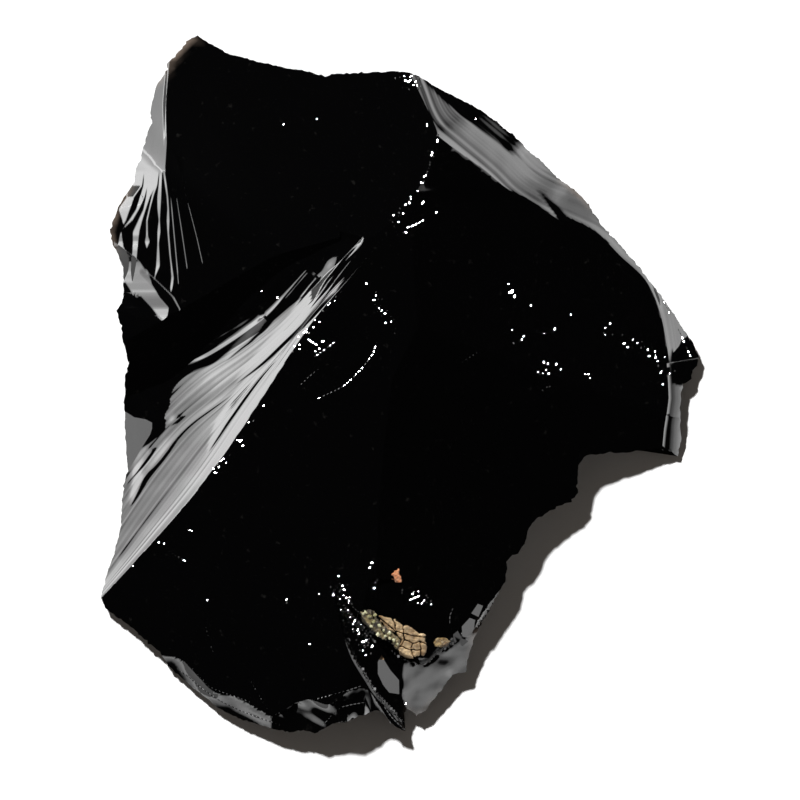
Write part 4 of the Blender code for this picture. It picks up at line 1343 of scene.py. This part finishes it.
def within(border, x, y):
    """The distance to a closed border, positive inside it."""
    closed = border + border[:1]
    inside = np.zeros(np.shape(x), bool)
    for start, end in zip(closed[:-1], closed[1:]):
        crosses = (start[1] > y) != (end[1] > y)
        rise = (end[1] - start[1]) or NEARLY_NONE
        inside ^= crosses & (x < start[0] + (y - start[1]) * (end[0] - start[0]) / rise)
    return distance_to(closed, x, y) * np.where(inside, 1, -1)


def layered(layers, x, y):
    """Adds up layers of lumps."""
    return sum(height * chatter(x * count + east, y * count + north) for height, count, east, north in layers)


def rind(name, thickness, border):
    """A low cracked lump over a border, as a closed block that is sunk where it ends."""
    def top(x, y):
        depth_in = RIND_SLOPE * (within(border, x, y) + layered(RAGGED_BORDER, x, y))
        lift = np.clip(depth_in, -SINK, thickness) + layered(ROUGH_TOP, x, y)
        wander = layered(CRACK_WANDER, x, y)
        for crack in CRACKS:
            gap = distance_to(crack, x + wander, y - wander) / CRACK_WIDTH
            lift = lift - (thickness + SINK / 2) * (1 - ease(gap))
        return surface(x, y) + np.maximum(lift, -SINK)

    west, south = np.min(border, axis=0) - RIND_MARGIN
    east, north = np.max(border, axis=0) + RIND_MARGIN
    return grid_block(name, top, rectangle(west, south, east, north), (RIND_CELLS, RIND_CELLS), -SINK)


rinds = [rind(name, thickness, border) for name, thickness, border in RINDS]
print("rinds", [piece.name for piece in rinds])

# %% [markdown]
# ## The green crystals
# Each crystal is a ball of twenty flat faces, squashed and roughened until it looks blocky, then
# turned and set on the crystal bed. A new one takes other random numbers, so none looks the same.

# %% The green crystals
# Crystals: (x, y, size).
CRYSTALS = [(-4.7, -34.6, 0.9), (-3.8, -34.4, 0.7), (-4.1, -35.4, 1.0), (-3.2, -36.0, 0.8),
            (-5.2, -34.0, 0.6), (-3.4, -37.3, 0.8), (-2.3, -37.6, 0.9), (-1.6, -37.9, 0.7),
            (-2.5, -36.7, 0.6), (-1.0, -38.2, 0.8), (-4.4, -36.1, 0.6), (-5.6, -34.2, 0.5),
            (-1.7, -37.1, 0.6), (-0.5, -38.8, 0.6)]
CRYSTAL_SEED = 17
CRYSTAL_LIFT = 0.35
SQUASH, BLOCKINESS = (0.5, 1.1), (0.65, 1.35)


def crystal(rng, x, y, size):
    height = surface(np.array([x]), np.array([y]))[0] + CRYSTAL_LIFT
    bpy.ops.mesh.primitive_ico_sphere_add(subdivisions=1, radius=size / 2 * MM)
    ball = bpy.context.object
    points = points_of(ball) / MM * rng.uniform(*SQUASH, 3)
    points = points * rng.uniform(*BLOCKINESS, points.shape)
    turn = rng.uniform(0, 2 * np.pi)
    east = points[:, 0] * np.cos(turn) - points[:, 1] * np.sin(turn)
    north = points[:, 0] * np.sin(turn) + points[:, 1] * np.cos(turn)
    set_points(ball, np.column_stack([east + x, north + y, points[:, 2] + height]))
    return ball


rng = np.random.default_rng(CRYSTAL_SEED)
crystals = joined([crystal(rng, *row) for row in CRYSTALS], "green_crystals")
print("crystals", len(CRYSTALS), "faces", len(crystals.data.polygons))

# %% [markdown]
# ## Smooth shading
# The floors of the scars curve gently, so they are shaded smooth, and every edge sharper than a
# set angle stays crisp. The floors of the nicks and the valley's wall stay flat, however little
# they lean away from the glass around them, because they only mirror a light when they are flat.

# %% Smooth shading
SHARP_ANGLE = 22.0
NICK_AREA = 0.3 * MM**2
NICK_FLOOR_ANGLE, VALLEY_WALL_ANGLE = 9, 0.3
select_only(chunk)
bpy.ops.object.shade_smooth_by_angle(angle=np.radians(SHARP_ANGLE))
polygons = chunk.data.polygons
normals, areas = np.empty(len(polygons) * 3), np.empty(len(polygons))
smooth = np.empty(len(polygons), bool)
polygons.foreach_get("normal", normals)
polygons.foreach_get("area", areas)
polygons.foreach_get("use_smooth", smooth)
normals = normals.reshape(-1, 3)


def leaning_like(slopes, degrees):
    """Which faces lean like a plane with these slopes, to within a few degrees."""
    upright = np.append(-np.array(slopes), 1)
    return normals @ (upright / np.linalg.norm(upright)) > np.cos(np.radians(degrees))


level = valley_wall(0.0, 0.0)
wall_slopes = valley_wall(1.0, 0.0) - level, valley_wall(0.0, 1.0) - level
nick_floors = leaning_like(lean_slopes(FLASH_LEAN), NICK_FLOOR_ANGLE) & (areas < NICK_AREA)
polygons.foreach_set("use_smooth", smooth & ~nick_floors & ~leaning_like(wall_slopes, VALLEY_WALL_ANGLE))
print("floors of nicks kept flat", int(nick_floors.sum()))

# %% [markdown]
# ## Grain and dust
# Every material here has grain and dust, so each of the two is a node group: built once, with
# named inputs, and placed in each material with its own values. Both turn noise into a mask. Dust
# has more detail, so its specks are finer. The Stretch input draws the noise out to one side.

# %% Grain and dust
GROUP_INPUTS = [("Scale", 500.0), ("Stretch", 1.0), ("Threshold", 0.0), ("Amount", 1.0)]
GRAIN_DETAIL, DUST_DETAIL = 3.0, 8.0


def math_node(nodes, links, operation, first, second):
    """A math node between two sockets or numbers. Returns its result."""
    node = nodes.new("ShaderNodeMath")
    node.operation = operation
    for socket, value in zip(node.inputs, (first, second)):
        if isinstance(value, (int, float)):
            socket.default_value = value
        else:
            links.new(value, socket)
    return node.outputs[0]


def noise_group(name, detail):
    """A group that turns noise at a scale into a mask: 0 up to the threshold, rising by the amount."""
    group = bpy.data.node_groups.new(name, "ShaderNodeTree")
    for label, value in GROUP_INPUTS:
        socket = group.interface.new_socket(label, in_out="INPUT", socket_type="NodeSocketFloat")
        socket.default_value = value
    group.interface.new_socket("Mask", in_out="OUTPUT", socket_type="NodeSocketFloat")
    nodes, links = group.nodes, group.links
    entry, leave = nodes.new("NodeGroupInput"), nodes.new("NodeGroupOutput")
    places = nodes.new("ShaderNodeTexCoord")
    stretch = nodes.new("ShaderNodeMapping")
    scales = nodes.new("ShaderNodeCombineXYZ")
    scales.inputs["X"].default_value = 1.0
    scales.inputs["Z"].default_value = 1.0
    links.new(entry.outputs["Stretch"], scales.inputs["Y"])
    links.new(places.outputs["Object"], stretch.inputs["Vector"])
    links.new(scales.outputs[0], stretch.inputs["Scale"])
    noise = nodes.new("ShaderNodeTexNoise")
    noise.inputs["Detail"].default_value = detail
    links.new(stretch.outputs[0], noise.inputs["Vector"])
    links.new(entry.outputs["Scale"], noise.inputs["Scale"])
    above = math_node(nodes, links, "SUBTRACT", noise.outputs[0], entry.outputs["Threshold"])
    above = math_node(nodes, links, "MAXIMUM", above, 0.0)
    links.new(math_node(nodes, links, "MULTIPLY", above, entry.outputs["Amount"]), leave.inputs["Mask"])
    return group


def use_group(nodes, group, **values):
    """Places a group with its own values. Returns its mask."""
    node = nodes.new("ShaderNodeGroup")
    node.node_tree = group
    for label, value in values.items():
        node.inputs[label.capitalize()].default_value = value
    return node.outputs["Mask"]


def colour_mix(nodes, links, factor, first, second):
    """Mixes two colours or colour sockets by a mask. Returns the colour."""
    mix = nodes.new("ShaderNodeMix")
    mix.data_type = "RGBA"
    links.new(factor, mix.inputs["Factor"])
    for socket, value in zip((mix.inputs[6], mix.inputs[7]), (first, second)):
        if isinstance(value, tuple):
            socket.default_value = value
        else:
            links.new(value, socket)
    return mix.outputs[2]


def bent_normal(nodes, links, height, strength, distance):
    """A normal bent by a mask that stands for small heights. Distance is in metres."""
    bump = nodes.new("ShaderNodeBump")
    bump.inputs["Strength"].default_value = strength
    bump.inputs["Distance"].default_value = distance
    links.new(height, bump.inputs["Height"])
    return bump.outputs[0]


def new_material(name):
    """A material with nodes. Returns it with its nodes, links and Principled shader."""
    material = bpy.data.materials.new(name)
    material.use_nodes = True
    nodes = material.node_tree.nodes
    return material, nodes, material.node_tree.links, nodes["Principled BSDF"]


grain_group = noise_group("grain", GRAIN_DETAIL)
dust_group = noise_group("dust", DUST_DETAIL)
print("node groups", [group.name for group in bpy.data.node_groups])

# %% [markdown]
# ## Black glass
# Obsidian is almost black glass with a mirror-like break. Close up it isn't even: the break has
# very faint flow lines and fine grain, dust dulls it in patches, and where it thins at an edge
# light comes through smoky brown. Where it is thin is stored on the mesh as an attribute.

# %% Black glass
# Where the edge is thin: (x, y, reach, how thin).
THIN_PLACES = [(-43.2, 23.5, 3.2, 0.9), (-41.5, 28.0, 2.5, 0.4), (-33.0, 50.5, 2.6, 0.8),
               (-35.5, 46.5, 2.0, 0.4), (26.3, 28.6, 3.0, 0.8), (11.0, -38.0, 3.0, 0.3),
               (4.0, -48.0, 3.0, 0.3)]
THIN_DEPTH = 1.0
GLASS_BLACK, SMOKE_BROWN = (0.0009, 0.0009, 0.001, 1), (0.20, 0.155, 0.125, 1)
GLASS_DUST = (0.25, 0.24, 0.22, 1)
GLASS_ROUGHNESS = 0.042


def mark_thin_edges(piece):
    """Stores how thin the glass is at each point: 1 at a few places on the outline, 0 elsewhere."""
    points = points_of(piece) / MM
    x, y = points[:, 0], points[:, 1]
    thin = np.zeros(len(points))
    for east, north, reach, most in THIN_PLACES:
        thin = np.maximum(thin, most * ease(1.5 - np.hypot(x - east, y - north) / reach))
    rim = distance_to(OUTLINE + OUTLINE[:1], x, y)
    thin = thin * ease(1 - rim / THIN_DEPTH)
    attribute = piece.data.attributes.new("thin", "FLOAT", "POINT")
    attribute.data.foreach_set("value", thin)


def glass_material():
    material, nodes, links, shader = new_material("black_glass")
    shader.inputs["IOR"].default_value = 1.5
    thin = nodes.new("ShaderNodeAttribute")
    thin.attribute_name = "thin"
    smoke = use_group(nodes, grain_group, scale=260.0, threshold=0.25, amount=2.2)
    thinness = math_node(nodes, links, "MULTIPLY", thin.outputs["Fac"], smoke)
    tone = colour_mix(nodes, links, thinness, GLASS_BLACK, SMOKE_BROWN)
    dust = use_group(nodes, dust_group, scale=900.0, threshold=0.66, amount=0.25)
    links.new(colour_mix(nodes, links, dust, tone, GLASS_DUST), shader.inputs["Base Color"])
    dull = use_group(nodes, dust_group, scale=60.0, stretch=0.4, threshold=0.45, amount=0.04)
    links.new(math_node(nodes, links, "ADD", dull, GLASS_ROUGHNESS), shader.inputs["Roughness"])
    flow = use_group(nodes, grain_group, scale=700.0, stretch=0.25)
    links.new(bent_normal(nodes, links, flow, 0.12, 0.00002), shader.inputs["Normal"])
    return material


mark_thin_edges(chunk)
chunk.data.materials.clear()
chunk.data.materials.append(glass_material())
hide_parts("obsidian_chunk")
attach(chunk, "root")
print("chunk faces", len(chunk.data.polygons), "material", chunk.data.materials[0].name)

# %% [markdown]
# ## Rock
# The crust, its dark bed, the golden end, the orange speck and the crystals are dull rock. They
# share one recipe: the colour wanders between two tones, dust lies over it, and grain makes it
# rough. Only the tones, the scale and the roughness differ.

# %% Rock
ROCK_DUST = (0.60, 0.50, 0.36, 1)
# Each rock: (light tone, dark tone, scale, roughness).
ROCKS = {
    "tan_crust": ((0.62, 0.45, 0.25, 1), (0.20, 0.11, 0.04, 1), 450, 0.75),
    "crystal_bed": ((0.22, 0.17, 0.07, 1), (0.02, 0.014, 0.008, 1), 900, 0.6),
    "gold_end": ((0.36, 0.25, 0.10, 1), (0.10, 0.05, 0.015, 1), 700, 0.6),
    "orange_spot": ((0.85, 0.36, 0.16, 1), (0.45, 0.13, 0.04, 1), 900, 0.6),
    "green_crystals": ((0.58, 0.58, 0.38, 1), (0.20, 0.18, 0.07, 1), 800, 0.30),
}


def rock_material(name, light, dark, scale, roughness):
    """Dull rock whose colour wanders between two tones, with a grainy, dusty surface."""
    material, nodes, links, shader = new_material(name)
    wander = use_group(nodes, grain_group, scale=scale, threshold=0.38, amount=4.0)
    tone = colour_mix(nodes, links, wander, dark, light)
    dust = use_group(nodes, dust_group, scale=scale * 2.5, threshold=0.5, amount=2.0)
    links.new(colour_mix(nodes, links, dust, tone, ROCK_DUST), shader.inputs["Base Color"])
    grain = use_group(nodes, grain_group, scale=scale * 4)
    links.new(bent_normal(nodes, links, grain, 0.5, 0.0001), shader.inputs["Normal"])
    shader.inputs["Roughness"].default_value = roughness
    return material


for piece in [*rinds, crystals]:
    piece.data.materials.clear()
    piece.data.materials.append(rock_material(piece.name, *ROCKS[piece.name]))
    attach(piece, "root")
    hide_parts("obsidian_chunk")
print("materials", [material.name for material in bpy.data.materials])

# %% [markdown]
# ## The floor
# The chunk lies on a plain white floor, which takes its shadow. It is matt, without any gloss.

# %% Floor
FLOOR_SIZE = 12
select_only()
bpy.ops.mesh.primitive_plane_add(size=FLOOR_SIZE)
floor_plane = bpy.context.object
floor_plane.name = "studio_floor"
floor_material, _, _, floor_shader = new_material("white_floor")
floor_shader.inputs["Base Color"].default_value = (0.9, 0.9, 0.9, 1)
floor_shader.inputs["Roughness"].default_value = 1.0
floor_shader.inputs["Specular IOR Level"].default_value = 0.0
floor_plane.data.materials.append(floor_material)
print("floor", FLOOR_SIZE, "m wide")

# %% [markdown]
# ## Soft boxes
# Black glass shows only what it mirrors, so the lights draw it. Each soft box is a rectangle that
# fades towards its sides, and each group of faces leans at one of them: the west strip and the fan
# at the western ones, the band at the eastern one, the bevels and the plate at the southern ones.
# They are seen in gloss alone. The floor gets its light from the sun and the sky.

# %% Soft boxes
LIGHT_DISTANCE = 1.6
# How bright a soft box is from one end to the other: (place, brightness).
TALL_FADE = [(0.0, 0.0), (0.12, 1.0), (0.4, 1.0), (0.62, 0.62), (0.8, 0.42), (0.93, 0.33), (1.0, 0.0)]
LOW_FADE = [(0.0, 0.2), (0.2, 1.0), (0.6, 0.6), (1.0, 0.0)]
# Soft boxes: (name, azimuth, elevation, width and height in degrees, brightness), then the fades
# along the width and along the height.
SOFT_BOXES = [
    ("west_soft_box", 186.5, 12.0, (43, 24), 13.0,
     [(0.0, 1.0), (0.2, 1.0), (0.6, 0.5), (0.85, 0.35), (1.0, 0.0)], TALL_FADE),
    ("north_west_soft_box", 145.0, 12.0, (40, 24), 13.0,
     [(0.0, 0.0), (0.15, 0.8), (1.0, 1.0)], TALL_FADE),
    ("south_soft_box", -121.0, 8.0, (46, 20), 3.8,
     [(0.0, 0.0), (0.08, 1.0), (0.97, 1.0), (1.0, 0.0)], LOW_FADE),
    ("south_east_soft_box", -55.0, 48.0, (26, 13), 3.9,
     [(0.0, 0.3), (0.4, 1.0), (1.0, 1.0)],
     [(0.0, 0.0), (0.12, 0.4), (0.5, 0.9), (0.88, 1.5), (1.0, 0.0)]),
    ("low_south_east_soft_box", -61.0, 8.0, (34, 20), 2.6,
     [(0.0, 0.0), (0.1, 1.0), (0.9, 1.0), (1.0, 0.0)], LOW_FADE),
    ("east_soft_box", 9.0, 8.5, (94, 21), 6.5,
     [(0.0, 0.0), (0.06, 1.0), (0.94, 1.0), (1.0, 0.0)],
     [(0.0, 0.0), (0.1, 1.0), (0.45, 0.8), (0.7, 0.45), (0.85, 0.22), (1.0, 0.0)]),
]


def direction(azimuth, elevation):
    """The unit vector that points from the chunk to an azimuth and elevation in degrees."""
    turn, rise = np.radians(azimuth), np.radians(elevation)
    return Vector((np.cos(rise) * np.cos(turn), np.cos(rise) * np.sin(turn), np.sin(rise)))


def hung(name, light, towards):
    """Hangs a light in a direction from the chunk, aimed back at it."""
    lamp = bpy.data.objects.new(name, light)
    bpy.context.collection.objects.link(lamp)
    lamp.rotation_euler = (-towards).to_track_quat("-Z", "Y").to_euler()
    return lamp


def fade_ramp(nodes, links, source, stops):
    """A grey ramp that follows the stops. Returns its result."""
    ramp = nodes.new("ShaderNodeValToRGB")
    ramp.color_ramp.interpolation = "EASE"
    elements = ramp.color_ramp.elements
    for element, (place, value) in zip(elements, (stops[0], stops[-1])):
        element.position = place
        element.color = (value,) * 3 + (1,)
    for place, value in stops[1:-1]:
        elements.new(place).color = (value,) * 3 + (1,)
    links.new(source, ramp.inputs[0])
    return ramp.outputs[0]


def soft_box(name, azimuth, elevation, spread, radiance, *fades):
    """A rectangular light that fills spread (azimuth, elevation) degrees and is seen only in gloss."""
    light = bpy.data.lights.new(name, "AREA")
    light.shape = "RECTANGLE"
    light.size, light.size_y = [2 * LIGHT_DISTANCE * np.tan(np.radians(angle / 2)) for angle in spread]
    light.energy = np.pi * light.size * light.size_y * radiance
    towards = direction(azimuth, elevation)
    lamp = hung(name, light, towards)
    lamp.location = towards * LIGHT_DISTANCE
    lamp.visible_camera = False
    lamp.visible_diffuse = False
    light.use_nodes = True
    nodes, links = light.node_tree.nodes, light.node_tree.links
    split = nodes.new("ShaderNodeSeparateXYZ")
    links.new(nodes.new("ShaderNodeNewGeometry").outputs["Parametric"], split.inputs[0])
    across, upward = [fade_ramp(nodes, links, split.outputs[axis], stops) for axis, stops in zip("XY", fades)]
    brightness = math_node(nodes, links, "MULTIPLY", across, upward)
    links.new(brightness, nodes["Emission"].inputs["Strength"])


for row in SOFT_BOXES:
    soft_box(*row)
print("soft boxes", len(SOFT_BOXES))

# %% [markdown]
# ## Sun and sky
# One sun high in the north-north-west throws the chunk's shadow to the south-south-east and
# flashes in the nicks. The sky is a little warm, which tints the shadow. It is bright only where
# the camera sees it, dim as a light, and almost dark in gloss, so that the glass stays black.

# %% Sun and sky
SUN_STRENGTH, SUN_WIDTH = 4.9, 3.5
SKY_COLOUR = (1.0, 0.89, 0.79, 1)
SKY_LIGHT, SKY_GLOSS = 0.07, 0.06
sun = bpy.data.lights.new("key_light", "SUN")
sun.energy = SUN_STRENGTH
sun.angle = np.radians(SUN_WIDTH)
hung("key_light", sun, direction(*KEY_DIRECTION))
world = bpy.data.worlds.new("studio")
bpy.context.scene.world = world
world.use_nodes = True
nodes, links = world.node_tree.nodes, world.node_tree.links
path = nodes.new("ShaderNodeLightPath")


def by_ray(kind, others, these):
    """One value for rays of this kind and another for all others."""
    choice = nodes.new("ShaderNodeMapRange")
    choice.inputs["To Min"].default_value = others
    choice.inputs["To Max"].default_value = these
    links.new(path.outputs[kind], choice.inputs["Value"])
    return choice.outputs[0]


strength = math_node(nodes, links, "MULTIPLY", by_ray("Is Camera Ray", SKY_LIGHT, 1.0),
                     by_ray("Is Glossy Ray", 1.0, SKY_GLOSS))
links.new(strength, nodes["Background"].inputs["Strength"])
nodes["Background"].inputs["Color"].default_value = SKY_COLOUR
print("lights", [light.name for light in bpy.data.lights])

# %% [markdown]
# ## Camera
# The camera looks straight down from far above, so the outline shows without perspective. Its lens
# follows from its height and from how wide a view it should have at half the chunk's height.

# %% Camera
CAMERA_HEIGHT = 3.0
VIEW_HEIGHT = 0.010
VIEW_WIDTH = 0.120
VIEW_CENTRE = (-0.075, -2.205)
SENSOR = 36.0
FAR_LIMIT = 100
camera_data = bpy.data.cameras.new("camera")
camera_data.sensor_width = SENSOR
camera_data.lens = SENSOR * (CAMERA_HEIGHT - VIEW_HEIGHT) / VIEW_WIDTH
camera_data.clip_end = FAR_LIMIT
camera = bpy.data.objects.new("camera", camera_data)
bpy.context.collection.objects.link(camera)
camera.location = (VIEW_CENTRE[0] * MM, VIEW_CENTRE[1] * MM, CAMERA_HEIGHT)
bpy.context.scene.camera = camera
bpy.context.scene.view_settings.view_transform = "Standard"
print("lens", round(camera_data.lens), "mm")
